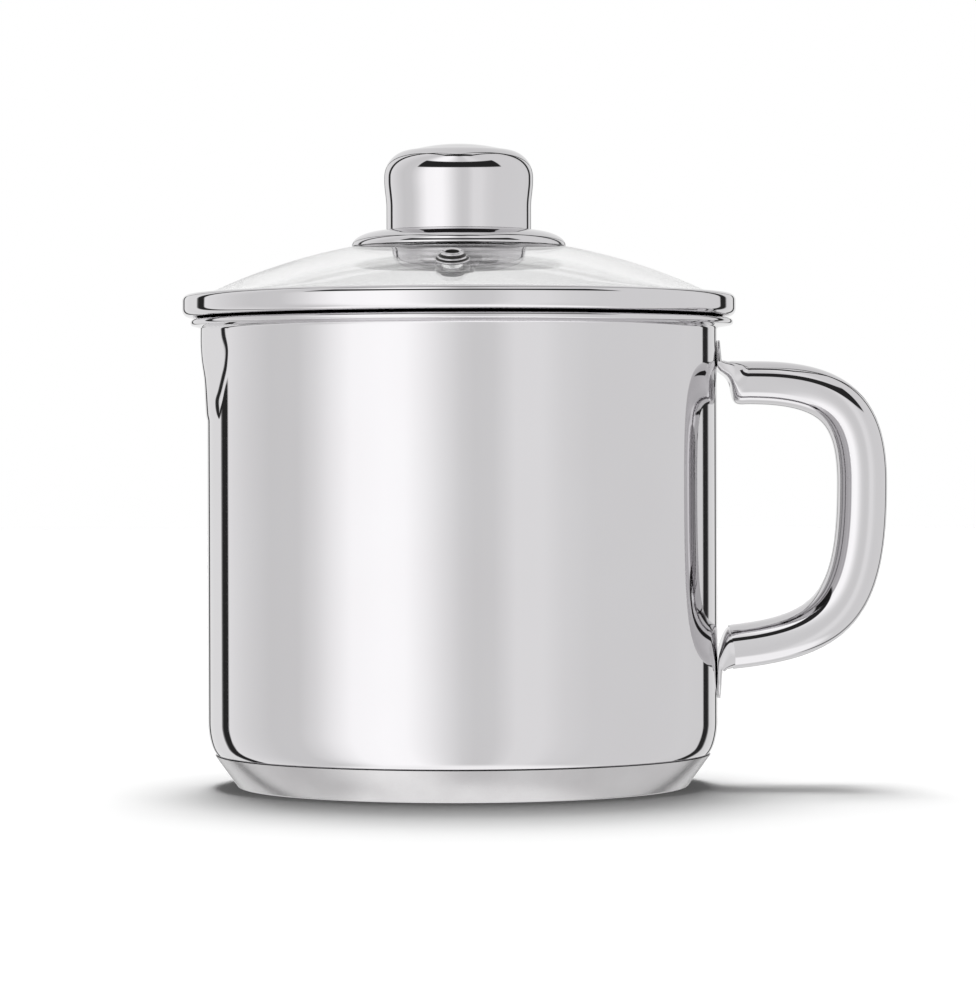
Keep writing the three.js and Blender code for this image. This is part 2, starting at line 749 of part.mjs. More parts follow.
function knobScrew() {
  const headZ = screwSeatZ - screwHeadHeight;
  const profile = [
    at(0, headZ),
    at((screwHeadRadius + screwRadius) / 2, headZ),
    at(screwHeadRadius, headZ + screwHeadHeight / 2),
    at(screwHeadRadius, screwSeatZ),
    at(screwRadius, screwSeatZ),
    at(screwRadius, screwSeatZ + screwLength - screwRadius / 2),
    at(screwRadius / 2, screwSeatZ + screwLength),
    at(0, screwSeatZ + screwLength),
  ];
  return mesh('knob_screw', turned(profile, smallSides), satinSteel);
}

function knobStack() {
  const group = new THREE.Group();
  const lowerGasketZ = lowerGasketTopZ - gasketThickness;
  const washerZ = washerTopZ - washerThickness;
  group.add(disc('knob_gasket_upper', upperGasketRadius, upperGasketZ, gasketThickness, paleSilicone));
  group.add(disc('knob_gasket_lower', lowerGasketRadius, lowerGasketZ, gasketThickness, paleSilicone));
  group.add(disc('knob_washer', washerRadius, washerZ, washerThickness, satinSteel));
  group.add(rosette());
  group.add(knobCap());
  group.add(knobBoss());
  group.add(knobScrew());
  return group;
}

const pot = new THREE.Group();
pot.add(potBody(), baseCore(), baseCap(), handle());

// The lid lies on the rim, pushed towards the spout through most of its play in the mouth
const lidShiftShare = 2 / 3;

const lid = new THREE.Group();
lid.add(lidGlass(), lidBand(), eyeletPieces(), knobStack());
lid.position.x = -lidShiftShare * skirtClearance;

const milkPan = new THREE.Group();
milkPan.add(pot, lid);

export default milkPan;
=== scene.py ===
import math

import bmesh
import bpy
from mathutils import Euler, Matrix, Vector


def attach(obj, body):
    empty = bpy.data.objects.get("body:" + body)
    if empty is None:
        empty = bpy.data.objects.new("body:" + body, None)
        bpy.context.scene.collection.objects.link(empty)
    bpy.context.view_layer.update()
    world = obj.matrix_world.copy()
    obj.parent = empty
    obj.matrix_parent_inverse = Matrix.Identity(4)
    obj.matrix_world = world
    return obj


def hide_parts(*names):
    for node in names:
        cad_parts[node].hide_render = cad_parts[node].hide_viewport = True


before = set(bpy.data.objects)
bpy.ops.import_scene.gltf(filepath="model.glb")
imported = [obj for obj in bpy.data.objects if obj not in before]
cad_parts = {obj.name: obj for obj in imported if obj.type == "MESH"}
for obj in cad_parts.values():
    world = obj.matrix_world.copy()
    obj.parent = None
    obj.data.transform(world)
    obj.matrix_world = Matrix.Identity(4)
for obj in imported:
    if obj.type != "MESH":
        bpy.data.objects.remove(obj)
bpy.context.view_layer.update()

# Pot body: one disc of stainless sheet drawn deep into a straight-sided pot. Its mouth is rolled
# outwards into a pouring lip, a shallow spout is pressed out of the wall on the side away from the
# handle, the outside is buffed to a mirror and the inside brushed. All sizes are in millimetres.
mm = 0.001
INSIDE_RADIUS = 70.0
WALL = 0.6
RIM_HEIGHT = 129.2
FLOOR_UNDER = 6.0
FLOOR_TURN_RADIUS = 8.0
CORNER_RADIUS = 21.7
CORNER_TOP = 18.2
LIP_REACH = 4.5
LIP_DEPTH = 3.2
LIP_ROOT_RADIUS = 1.0
LIP_EDGE_RADIUS = 0.9
LIP_INNER_RADIUS = 1.3
SPOUT_PROTRUSION = 1.9
SPOUT_HEIGHT = 24.7
SPOUT_HALF_ANGLE = 20.5
SPOUT_RISE_SHARES = (
    (0, 0), (0.06, 0.17), (0.24, 0.32), (0.46, 0.47), (0.68, 0.85), (0.86, 1), (1, 1),
)
# The press leaves a crease along each side of the spout and a rounded shoulder just inside it. Each
# stop is a share of the spout's height, and the angle off the spout's middle.
SPOUT_CREASE = (
    (0, 21.2), (0.21, 24.2), (0.33, 25.4), (0.49, 27.0), (0.6, 27.5), (0.78, 27.8), (1, 26.8),
)
SPOUT_SHOULDER = (
    (0, 20.7), (0.21, 20.6), (0.33, 22.3), (0.49, 24.2), (0.6, 25.4), (0.78, 26.0),
    (0.92, 24.3), (1, 23.9),
)
# How steeply the shoulder faces, in degrees off the spout's middle
SHOULDER_OUTER_FACING = 27.2
SHOULDER_TURN_FACING = 26.5
SHOULDER_MIDDLE_FACING = 24.5
SHOULDER_INNER_FACING = 22.5
SHOULDER_WIDTH = 1.1
SHOULDER_FOOT = 4.5
SHOULDER_FADE_SHARE = 0.06
SHOULDER_MOST_SHARE = 0.45
POT_SIDES = 288
# Finer sides where the creases run, in steps off the spout's middle
SPOUT_SIDE_STEP = 0.25
CREASE_STEPS = range(48, 112)
SPOUT_ROWS = 50
PLAIN_ROWS = 8
SHARP_ANGLE = 40
STEEL = 0xCCCBCD
STEEL_WARM = 0xC9C7C9
STEEL_ROUGHNESS = 0.035
POLISH_LINE_SPACING = 0.5
INSIDE_BRUSHING = 0.4
BRUSHED_ROUGHNESS = 0.5
BRUSHED_UNEVENNESS = 0.1
POLISH_UNEVENNESS = 0.4
POLISH_LINE_STRETCH = 0.05
POLISH_CLOUD_SIZE = 35.0

outside_radius = INSIDE_RADIUS + WALL
corner_centre = outside_radius - CORNER_RADIUS
turn_height = FLOOR_UNDER + FLOOR_TURN_RADIUS
turn_centre = corner_centre + math.sqrt(
    (CORNER_RADIUS - FLOOR_TURN_RADIUS) ** 2 - (CORNER_TOP - turn_height) ** 2
)
tangent_angle = math.degrees(math.atan2(turn_height - CORNER_TOP, turn_centre - corner_centre))
lip_tip = outside_radius + LIP_REACH
lip_under = RIM_HEIGHT - LIP_DEPTH
spout_foot = lip_under - SPOUT_HEIGHT


def arc(centre_r, centre_z, radius, from_angle, to_angle, steps):
    """Points of an arc in a turned piece's (r, z) section."""
    points = []
    for i in range(steps + 1):
        angle = math.radians(from_angle + (to_angle - from_angle) * i / steps)
        points.append((centre_r + radius * math.cos(angle), centre_z + radius * math.sin(angle)))
    return points


def smooth_faces(piece):
    """Smooth shading, with crisp edges only where the piece really has them."""
    piece.data.polygons.foreach_set("use_smooth", [True] * len(piece.data.polygons))
    piece.data.set_sharp_from_angle(angle=math.radians(SHARP_ANGLE))


def new_piece(name, points, faces):
    """A piece through points in millimetres, with its faces turned out."""
    data = bpy.data.meshes.new(name)
    data.from_pydata([Vector(p) * mm for p in points], [], faces)
    piece = bpy.data.objects.new(name, data)
    bpy.context.collection.objects.link(piece)
    built = bmesh.new()
    built.from_mesh(data)
    bmesh.ops.recalc_face_normals(built, faces=built.faces)
    built.to_mesh(data)
    built.free()
    smooth_faces(piece)
    return piece


def turned(name, profile, sides, ring=False):
    """A section in (r, z) turned about Z, at even angles or at the ones given. A ring's section
    closes on itself; any other starts and ends on the axis."""
    turns = sides if isinstance(sides, list) else [2 * math.pi * k / sides for k in range(sides)]
    sides = len(turns)
    points = []
    rows = []
    for r, z in profile:
        if r == 0:
            rows.append([len(points)] * sides)
            points.append((0, 0, z))
        else:
            first = len(points)
            rows.append([first + k for k in range(sides)])
            for angle in turns:
                points.append((r * math.cos(angle), r * math.sin(angle), z))
    faces = []
    pairs = list(zip(rows, rows[1:]))
    if ring:
        pairs.append((rows[-1], rows[0]))
    for low, high in pairs:
        for k in range(sides):
            following = (k + 1) % sides
            corners = [low[k], low[following], high[following], high[k]]
            faces.append(list(dict.fromkeys(corners)))
    return new_piece(name, points, faces)


def smooth_table(table, share):
    """Reads a table of shares along a smooth curve through its points."""
    share = min(max(share, table[0][0]), table[-1][0])
    k = max(i for i in range(len(table) - 1) if table[i][0] <= share)
    (x0, y0), (x1, y1) = table[k], table[k + 1]
    before = table[max(k - 1, 0)]
    after = table[min(k + 2, len(table) - 1)]
    slope0 = (y1 - before[1]) / (x1 - before[0])
    slope1 = (after[1] - y0) / (after[0] - x0)
    t = (share - x0) / (x1 - x0)
    width = x1 - x0
    return (
        (2 * t**3 - 3 * t**2 + 1) * y0
        + (t**3 - 2 * t**2 + t) * width * slope0
        + (3 * t**2 - 2 * t**3) * y1
        + (t**3 - t**2) * width * slope1
    )


def spout_push(x, y, z):
    """How far the spout's tool pushes the wall straight outwards. The lip's edge stays round."""
    if z <= spout_foot:
        return 0
    height_share = min((z - spout_foot) / SPOUT_HEIGHT, 1)
    rise = smooth_table(SPOUT_RISE_SHARES, height_share)
    angle = math.degrees(abs(math.atan2(y, -x)))
    crease = smooth_table(SPOUT_CREASE, height_share)
    shoulder = smooth_table(SPOUT_SHOULDER, height_share)
    half = min(SHOULDER_WIDTH, SHOULDER_MOST_SHARE * (crease - shoulder))
    # The wall's turn off the plain cylinder, in degrees, from the crease inwards
    turns = (
        (crease, 0),
        (crease - half, SHOULDER_OUTER_FACING - crease + half),
        (shoulder + half, SHOULDER_TURN_FACING - shoulder - half),
        (shoulder, SHOULDER_MIDDLE_FACING - shoulder),
        (shoulder - half, SHOULDER_INNER_FACING - shoulder + half),
        (shoulder - SHOULDER_FOOT, 0),
    )
    edge = 0
    whole_edge = 0
    for (outer, outer_turn), (inner, inner_turn) in zip(turns, turns[1:]):
        whole_edge += (outer - inner) * (outer_turn + inner_turn) / 2
        if angle < outer:
            reached = max(angle, inner)
            share = (outer - reached) / (outer - inner)
            reached_turn = outer_turn + (inner_turn - outer_turn) * share
            edge += (outer - reached) * (outer_turn + reached_turn) / 2
    sweep = outside_radius * math.radians(1) ** 2
    fade = smooth_table(((0, 0), (SHOULDER_FADE_SHARE, 1), (1, 1)), height_share)
    middle = max(1 - (angle / SPOUT_HALF_ANGLE) ** 2, 0) ** 2
    push = fade * sweep * edge + (SPOUT_PROTRUSION * rise - fade * sweep * whole_edge) * middle
    if z > lip_under:
        push *= (1 + math.cos(math.pi * min(z - lip_under, LIP_DEPTH) / LIP_DEPTH)) / 2
    lip_fade = 1 - min(max((math.hypot(x, y) - outside_radius) / LIP_REACH, 0), 1)
    return push * lip_fade


spout_rows = [spout_foot + SPOUT_HEIGHT * i / SPOUT_ROWS for i in range(SPOUT_ROWS + 1)]
plain_rows = [CORNER_TOP + (spout_foot - CORNER_TOP) * i / PLAIN_ROWS for i in range(1, PLAIN_ROWS)]
pot_outside = [
    (0, FLOOR_UNDER),
    *arc(turn_centre, turn_height, FLOOR_TURN_RADIUS, -90, tangent_angle, 12),
    *arc(corner_centre, CORNER_TOP, CORNER_RADIUS, tangent_angle, 0, 10)[1:],
    *[(outside_radius, z) for z in plain_rows + spout_rows],
    *arc(outside_radius + LIP_ROOT_RADIUS, lip_under, LIP_ROOT_RADIUS, 180, 100, 6)[1:],
    *arc(lip_tip - LIP_EDGE_RADIUS, RIM_HEIGHT - LIP_EDGE_RADIUS, LIP_EDGE_RADIUS, -70, 75, 10),
    *arc(
        INSIDE_RADIUS + LIP_INNER_RADIUS, RIM_HEIGHT - LIP_INNER_RADIUS, LIP_INNER_RADIUS,
        90, 180, 8,
    ),
]
pot_inside = [
    *[(INSIDE_RADIUS, z) for z in reversed(plain_rows + spout_rows)],
    *arc(corner_centre, CORNER_TOP, CORNER_RADIUS - WALL, 0, tangent_angle, 10),
    *arc(turn_centre, turn_height, FLOOR_TURN_RADIUS - WALL, tangent_angle, -90, 12)[1:],
    (0, FLOOR_UNDER + WALL),
]
side_angles = {360 * k / POT_SIDES for k in range(POT_SIDES)}
side_angles |= {180 + way * SPOUT_SIDE_STEP * k for way in (-1, 1) for k in CREASE_STEPS}
pot = turned(
    "pot", pot_outside + pot_inside, [math.radians(angle) for angle in sorted(side_angles)],
)
for vertex in pot.data.vertices:
    x, y, z = vertex.co / mm
    radius = math.hypot(x, y)
    if radius > INSIDE_RADIUS / 2:
        scale = (radius + spout_push(x, y, z)) / radius
        vertex.co.x *= scale
        vertex.co.y *= scale
pot.data.update()
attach(pot, "pan")
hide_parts("pan_body")


def linear(hex_colour):
    """An sRGB hex colour as the linear colour that a shader takes."""
    channels = []
    for shift in (16, 8, 0):
        value = (hex_colour >> shift & 0xFF) / 0xFF
        channels.append(value / 12.92 if value <= 0.04045 else ((value + 0.055) / 1.055) ** 2.4)
    return (*channels, 1)


def add(tree, kind, inputs=None, **settings):
    """Adds a shader node with its settings, its constant inputs and its links."""
    made = tree.nodes.new("ShaderNode" + kind)
    for key, value in settings.items():
        setattr(made, key, value)
    for socket, value in (inputs or {}).items():
        if isinstance(value, bpy.types.NodeSocket):
            tree.links.new(value, made.inputs[socket])
        else:
            made.inputs[socket].default_value = value
    return made


def new_material(name):
    """An empty material and its node tree."""
    material = bpy.data.materials.new(name)
    material.use_nodes = True
    material.node_tree.nodes.clear()
    return material, material.node_tree


def mirror_steel(name, line_spacing, roughness, unevenness=POLISH_UNEVENNESS):
    """18/10 stainless steel, buffed on a wheel to a mirror: a hard bright reflection, with the
    faintest lines of the polishing compound running round the piece. With a high roughness it
    is the same steel brushed, which spreads the reflection to a soft sheen."""
    material, tree = new_material(name)
    place = add(tree, "TexCoord").outputs["Object"]
    lines_scale = add(tree, "Mapping", {
        "Vector": place, "Scale": (POLISH_LINE_STRETCH, POLISH_LINE_STRETCH, 1),
    })
    lines = add(tree, "TexNoise", {
        "Vector": lines_scale.outputs[0], "Scale": 1 / (line_spacing * mm), "Detail": 3,
    })
    clouds = add(tree, "TexNoise", {
        "Vector": place, "Scale": 1 / (POLISH_CLOUD_SIZE * mm), "Detail": 2,
    })
    colour = add(tree, "Mix", {
        "Factor": clouds.outputs["Fac"], "A": linear(STEEL), "B": linear(STEEL_WARM),
    }, data_type="RGBA")
    spread = add(tree, "MapRange", {
        "Value": lines.outputs["Fac"], "From Min": 0.35, "From Max": 0.65,
        "To Min": (1 - unevenness) * roughness, "To Max": (1 + unevenness) * roughness,
    })
    shader = add(tree, "BsdfPrincipled", {
        "Base Color": colour.outputs["Result"], "Metallic": 1, "Roughness": spread.outputs[0],
    })
    add(tree, "OutputMaterial", {"Surface": shader.outputs[0]})
    return material


pot.data.materials.append(mirror_steel(
    "polished stainless steel", POLISH_LINE_SPACING, STEEL_ROUGHNESS,
))
# The inside is only brushed round with an abrasive pad, to a soft satin
pot.data.materials.append(mirror_steel(
    "brushed inside steel", INSIDE_BRUSHING, BRUSHED_ROUGHNESS, BRUSHED_UNEVENNESS,
))
for face in pot.data.polygons[(len(pot_outside) - 1) * len(side_angles):]:
    face.material_index = 1

# Base core: a disc of aluminium brazed under the pot's floor to spread the heat. It is shut in
# between the floor and the cap, so it keeps its machined, slightly rough surface. Its turning lines
# are coarser than a real lathe's.
ALUMINIUM = 0xB4B6B9
CORE_ROUGHNESS = 0.42
TURNING_LINE_SPACING = 3.77
TURNING_LINE_DEPTH = 0.02
# The wave node's own count of radians to a unit of its scale
WAVE_RADIANS = 20

core_material, core_tree = new_material("machined aluminium")
place = add(core_tree, "TexCoord").outputs["Object"]
turning = add(core_tree, "TexWave", {
    "Vector": place, "Scale": 2 * math.pi / (WAVE_RADIANS * TURNING_LINE_SPACING * mm),
    "Distortion": 1.5, "Detail": 2,
}, wave_type="RINGS", rings_direction="Z")
core_relief = add(core_tree, "Bump", {
    "Height": turning.outputs["Fac"], "Distance": TURNING_LINE_DEPTH * mm,
})
core_shader = add(core_tree, "BsdfPrincipled", {
    "Base Color": linear(ALUMINIUM), "Metallic": 1, "Roughness": CORE_ROUGHNESS,
    "Normal": core_relief.outputs[0],
})
add(core_tree, "OutputMaterial", {"Surface": core_shader.outputs[0]})
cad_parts["base_core"].data.materials.clear()
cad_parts["base_core"].data.materials.append(core_material)

# Base cap: a shallow dish of magnetic stainless sheet pressed over the core and up round the pot's
# floor turn. It is fine-blasted to an even satin, and only a hairline shows where it meets the pot.
BOND = 0.15
CAP_SHEET = 0.5
CAP_WRAP = 2.9
CAP_RIM_WIDTH = 0.35
CAP_TAPER = 6.4
CAP_EDGE_RADIUS = 1.1
CAP_RIM_EDGE = 0.1
CAP_RIM_EDGE_DEPTH = 0.12
CAP_WRAP_STEPS = 8
CAP_STEEL = 0xC4C3C4
CAP_STEEL_DARK = 0xB7B5B6
CAP_ROUGHNESS = 0.24
BLAST_GRAIN = 0.5
BLAST_DEPTH = 0.01
BLAST_CLOUD_SIZE = 9.0

cap_height = FLOOR_UNDER + CAP_WRAP


def seat_radius(z):
    """The pot's underside as the cap meets it, with the bond between them."""
    drop = max(turn_height - z, 0)
    return turn_centre + math.sqrt(max((FLOOR_TURN_RADIUS + BOND) ** 2 - drop**2, 0))


cap_top_radius = seat_radius(cap_height) + CAP_RIM_WIDTH
cap_bottom_radius = cap_top_radius - CAP_TAPER
cap_slope = CAP_TAPER / cap_height
cap_side_sheet = CAP_SHEET * math.hypot(1, cap_slope)
cap_side_angle = math.degrees(math.atan(1 / cap_slope))
cap_edge_centre = cap_bottom_radius - CAP_EDGE_RADIUS * math.tan(math.radians(cap_side_angle / 2))
cap_rim = []
for i in range(CAP_WRAP_STEPS + 1):
    z = cap_height - CAP_WRAP / 2 * i / CAP_WRAP_STEPS
    cap_rim.append((max(seat_radius(z), cap_bottom_radius + cap_slope * z - cap_side_sheet), z))
cap = turned("base_shell", [
    (0, 0),
    *arc(cap_edge_centre, CAP_EDGE_RADIUS, CAP_EDGE_RADIUS, -90, cap_side_angle - 90, 8),
    (cap_top_radius - CAP_RIM_EDGE, cap_height - CAP_RIM_EDGE_DEPTH),
    (cap_top_radius - CAP_RIM_EDGE, cap_height),
    *cap_rim,
    (cap_bottom_radius + cap_slope * CAP_SHEET - cap_side_sheet, CAP_SHEET),
    (0, CAP_SHEET),
], POT_SIDES)
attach(cap, "pan")
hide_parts("base_cap")


def satin_steel(name, grain, roughness):
    """Stainless steel blasted with fine glass bead: a soft grey sheen with a salt-like grain."""
    material, tree = new_material(name)
    place = add(tree, "TexCoord").outputs["Object"]
    speckle = add(tree, "TexNoise", {
        "Vector": place, "Scale": 1 / (grain * mm), "Detail": 4, "Roughness": 0.7,
    })
    clouds = add(tree, "TexNoise", {
        "Vector": place, "Scale": 1 / (BLAST_CLOUD_SIZE * mm), "Detail": 3,
    })
    colour = add(tree, "Mix", {
        "Factor": clouds.outputs["Fac"], "A": linear(CAP_STEEL), "B": linear(CAP_STEEL_DARK),
    }, data_type="RGBA")
    spread = add(tree, "MapRange", {
        "Value": speckle.outputs["Fac"], "From Min": 0.3, "From Max": 0.7,
        "To Min": 0.85 * roughness, "To Max": 1.15 * roughness,
    })
    relief = add(tree, "Bump", {"Height": speckle.outputs["Fac"], "Distance": BLAST_DEPTH * mm})
    shader = add(tree, "BsdfPrincipled", {
        "Base Color": colour.outputs["Result"], "Metallic": 1, "Roughness": spread.outputs[0],
        "Normal": relief.outputs[0],
    })
    add(tree, "OutputMaterial", {"Surface": shader.outputs[0]})
    return material


cap.data.materials.append(satin_steel("bead-blasted stainless steel", BLAST_GRAIN, CAP_ROUGHNESS))

# Handle: a length of stainless tube bent to a D in one plane. Each end is pressed flat into a
# tongue, wrapped to the pot's curve and spot-welded to the wall, and the whole loop is buffed.
HANDLE_REACH = 40.2
HANDLE_HEIGHT = 73.2
HANDLE_DROP = 17.7
LOWER_ARM_RISE = 6.3
ARM_DEPTH = 12.0
GRIP_DEPTH = 13.8
TUBE_WIDTH = 18.0
TAB_WIDTH = 21.0
TAB_THICKNESS = 1.3
TAB_TIP_THICKNESS = 0.6
UPPER_TAB_LENGTH = 6.0
LOWER_TAB_LENGTH = 8.5
VENT_RADIUS = 1.2
VENT_DRILL_LENGTH = 8.0
VENT_SIDES = 32
GRIP_CENTRE_SHARE = 0.38
SHOULDER_START_SHARE = 0.233
LOWER_START_SHARE = 0.105
SHOULDER_HANDLE_SHARES = (0.6, 0.27)
HAUNCH_HANDLE_SHARES = (0.478, 0.69)
TUBE_SQUARENESS = 2.4
TAB_SQUARENESS = 5.0
TONGUE_SHARES = (0.05, 0.2, 0.5, 1)
HANDLE_SIDES = 96
BEND_STEPS = 12
CUT_STEPS = 5
HANDLE_ROUGHNESS = 0.04

# Each row of a pressed end: where the inner and the outer face stand, out from the wall and in from
# the arm's outer line, in shares of the arm's depth, then how far it has opened to a tube, and how
# far it still follows the pot's curve
UPPER_ROOT_SHARES = (
    (0, 0.14, 0.15, -0.01, 0, 1),
    (0.06, 0.25, 0.24, 0.01, 0.1, 0.7),
    (0.2, 0.37, 0.32, 0, 0.3, 0.35),
    (0.28, 0.53, 0.41, 0, 0.55, 0.1),
    (0.32, 0.74, 0.49, 0, 0.8, 0),
    (0.37, 0.92, 0.59, 0, 0.95, 0),
    (0.49, 1, 0.7, 0, 1, 0),
)
LOWER_ROOT_SHARES = (
    (0.29, 0.98, 0.4, 0.01, 1, 0),
    (0.2, 0.92, 0.33, 0.005, 0.85, 0),
    (0.12, 0.76, 0.26, 0, 0.6, 0.15),
    (0.06, 0.54, 0.2, -0.01, 0.35, 0.45),
    (0.01, 0.28, 0.15, -0.05, 0.1, 0.85),
)

wall_x = outside_radius + BOND
grip_x = outside_radius + HANDLE_REACH
upper_arm = RIM_HEIGHT - HANDLE_DROP
lower_arm = upper_arm - HANDLE_HEIGHT
upper_line = upper_arm + ARM_DEPTH / 2
lower_line = lower_arm - ARM_DEPTH / 2


def mix(a, b, share):
    """The value a share of the way from a to b."""
    return a + (b - a) * share


def bezier(corners, t):
    """The place and the direction on a cubic curve."""
    a, b, c, d = corners
    place = a * (1 - t) ** 3 + b * 3 * t * (1 - t) ** 2 + c * 3 * t**2 * (1 - t) + d * t**3
    heading = (b - a) * (1 - t) ** 2 + (c - b) * 2 * t * (1 - t) + (d - c) * t**2
    return place, heading.normalized()


def tube_cuts(steps):
    """Cuts along the bend, the tube deepest where the hand closes round it."""
    start_x = outside_radius + SHOULDER_START_SHARE * HANDLE_REACH
    grip_z = upper_arm - GRIP_CENTRE_SHARE * HANDLE_HEIGHT
    rise = math.radians(LOWER_ARM_RISE)
    lower_end = Vector((outside_radius + LOWER_START_SHARE * HANDLE_REACH, lower_arm))
    lower_reach = HAUNCH_HANDLE_SHARES[1] * HANDLE_REACH
    shoulder = (
        Vector((start_x, upper_arm)),
        Vector((start_x + SHOULDER_HANDLE_SHARES[0] * HANDLE_REACH, upper_arm)),
        Vector((grip_x, grip_z + SHOULDER_HANDLE_SHARES[1] * HANDLE_HEIGHT)),
        Vector((grip_x, grip_z)),
    )
    haunch = (
        Vector((grip_x, grip_z)),
        Vector((grip_x, grip_z - HAUNCH_HANDLE_SHARES[0] * HANDLE_HEIGHT)),
        lower_end + Vector((math.cos(rise), math.sin(rise))) * lower_reach,
        lower_end,
    )
    cuts = []
    for half, corners in enumerate((shoulder, haunch)):
        for i in range(half, steps + 1):
            place, heading = bezier(corners, i / steps)
            depth = mix(ARM_DEPTH, GRIP_DEPTH, abs(heading.y))
            outwards = Vector((-heading.y, heading.x)) * depth / 2
            cuts.append((*(place - outwards), *(place + outwards), TUBE_WIDTH, TUBE_SQUARENESS, 0))
    return cuts


def tongue_cuts(tip_z, length, away):
    """Cuts of the flat tongue on the wall, from its round tip."""
    cuts = []
    for share in TONGUE_SHARES:
        z = tip_z - away * share * length
        thickness = mix(TAB_TIP_THICKNESS, TAB_THICKNESS, share)
        width = TAB_WIDTH * math.sqrt(1 - (1 - share) ** 2)
        cuts.append((wall_x, z, wall_x + thickness, z, width, TAB_SQUARENESS, 1))
    return cuts


def root_cuts(rows, line_z, inwards):
    """Cuts where the tongue opens to the tube."""
    cuts = []
    for inner_out, inner_in, outer_out, outer_in, opening, wrap in rows:
        cuts.append((
            wall_x + inner_out * ARM_DEPTH, line_z + inwards * inner_in * ARM_DEPTH,
            wall_x + outer_out * ARM_DEPTH, line_z + inwards * outer_in * ARM_DEPTH,
            mix(TAB_WIDTH, TUBE_WIDTH, opening),
            mix(TAB_SQUARENESS, TUBE_SQUARENESS, opening), wrap,
        ))
    return cuts


def smoothed(cuts, steps):
    """Adds cuts between the given ones, along a smooth curve through them."""
    fine = []
    for k in range(len(cuts) - 1):
        before = cuts[max(k - 1, 0)]
        after = cuts[min(k + 2, len(cuts) - 1)]
        for i in range(steps):
            t = i / steps
            fine.append(tuple(
                0.5 * (2 * p1 + (p2 - p0) * t + (2 * p0 - 5 * p1 + 4 * p2 - p3) * t**2
                       + (3 * p1 - p0 - 3 * p2 + p3) * t**3)
                for p0, p1, p2, p3 in zip(before, cuts[k], cuts[k + 1], after)
            ))
    return [*fine, cuts[-1]]


def loft(name, cuts, sides):
    """Skins a row of cuts with a closed surface."""
    points = []
    faces = []
    for inner_x, inner_z, outer_x, outer_z, width, squareness, wrap in cuts:
        for i in range(sides):
            angle = 2 * math.pi * i / sides
            c, s = math.cos(angle), math.sin(angle)
            depth_share = (1 + math.copysign(abs(c) ** (2 / squareness), c)) / 2
            y = width / 2 * math.copysign(abs(s) ** (2 / squareness), s)
            wrap_in = wrap * (outside_radius - math.sqrt(outside_radius**2 - y**2))
            points.append((
                mix(inner_x, outer_x, depth_share) - wrap_in, y, mix(inner_z, outer_z, depth_share),
            ))
    last = len(cuts) - 1
    for k in range(sides):
        following = (k + 1) % sides
        for j in range(last):
            low, high = j * sides, (j + 1) * sides
            faces.append((low + k, low + following, high + following, high + k))
    faces.append(tuple(reversed(range(sides))))
    faces.append(tuple(last * sides + k for k in range(sides)))
    return new_piece(name, points, faces)


handle = loft("handle_loop", smoothed([
    *tongue_cuts(upper_line + UPPER_TAB_LENGTH, UPPER_TAB_LENGTH, 1),
    *root_cuts(UPPER_ROOT_SHARES, upper_line, -1),
    *tube_cuts(BEND_STEPS),
    *root_cuts(LOWER_ROOT_SHARES, lower_line, 1),
    *reversed(tongue_cuts(lower_line - LOWER_TAB_LENGTH, LOWER_TAB_LENGTH, -1)),
], CUT_STEPS), HANDLE_SIDES)


def cut_away(piece, cutter):
    """Cuts one mesh out of another and drops the cutter."""
    cutting = piece.modifiers.new("cut", "BOOLEAN")
    cutting.operation = "DIFFERENCE"
    cutting.solver = "EXACT"
    cutting.object = cutter
    bpy.context.view_layer.update()
    evaluated = piece.evaluated_get(bpy.context.evaluated_depsgraph_get())
    result = bpy.data.meshes.new_from_object(evaluated)
    piece.modifiers.clear()
    piece.data = result
    bpy.data.objects.remove(cutter)
    smooth_faces(piece)


vent = turned("vent_drill", [
    (0, 0), (VENT_RADIUS, 0), (VENT_RADIUS, VENT_DRILL_LENGTH), (0, VENT_DRILL_LENGTH),
], VENT_SIDES)
vent_place = Matrix.Translation(Vector((wall_x, 0, upper_arm)) * mm)
vent.data.transform(vent_place @ Matrix.Rotation(math.pi / 2, 4, "Y"))
cut_away(handle, vent)
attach(handle, "pan")
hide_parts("handle")
handle.data.materials.append(mirror_steel(
    "polished stainless tube", POLISH_LINE_SPACING, HANDLE_ROUGHNESS,
))

# Lid glass: a domed disc of tempered soda-lime glass with a flat edge, ground round, and two holes
# drilled before tempering. It is clear and smooth, with a faint roll from the mould.
SEAT = 0.2
BAND_OVERHANG = 1.5
BAND_SHEET = 0.6
BAND_STEP = 0.9
GLASS_THICKNESS = 4.2
GLASS_RISE = 16.8
GLASS_FLAT_WIDTH = 7.0
GLASS_EDGE_PLAY = 0.5
GLASS_EDGE_RADIUS = 0.8
DOME_RISE_SHARE = 0.94
STACK_HOLE_RADIUS = 3.5
SKIRT_CLEARANCE = 1.2
LID_SHIFT_SHARE = 2 / 3
EYELET_INSET = 16.6
EYELET_SIDE_OFFSET = -1.4
EYELET_TUBE_RADIUS = 2.45
EYELET_GAP = 0.3
DRILL_SIDES = 64
DRILL_BELOW = 8.0
DRILL_ABOVE = 4.0
LID_SIDES = 240
DOME_STEPS = 24
DOME_FOOT_STEPS = 8
GLASS_TINT = 0xFFFFFF
GLASS_ROLL_SIZE = 25.0
GLASS_ROLL_DEPTH = 0.02

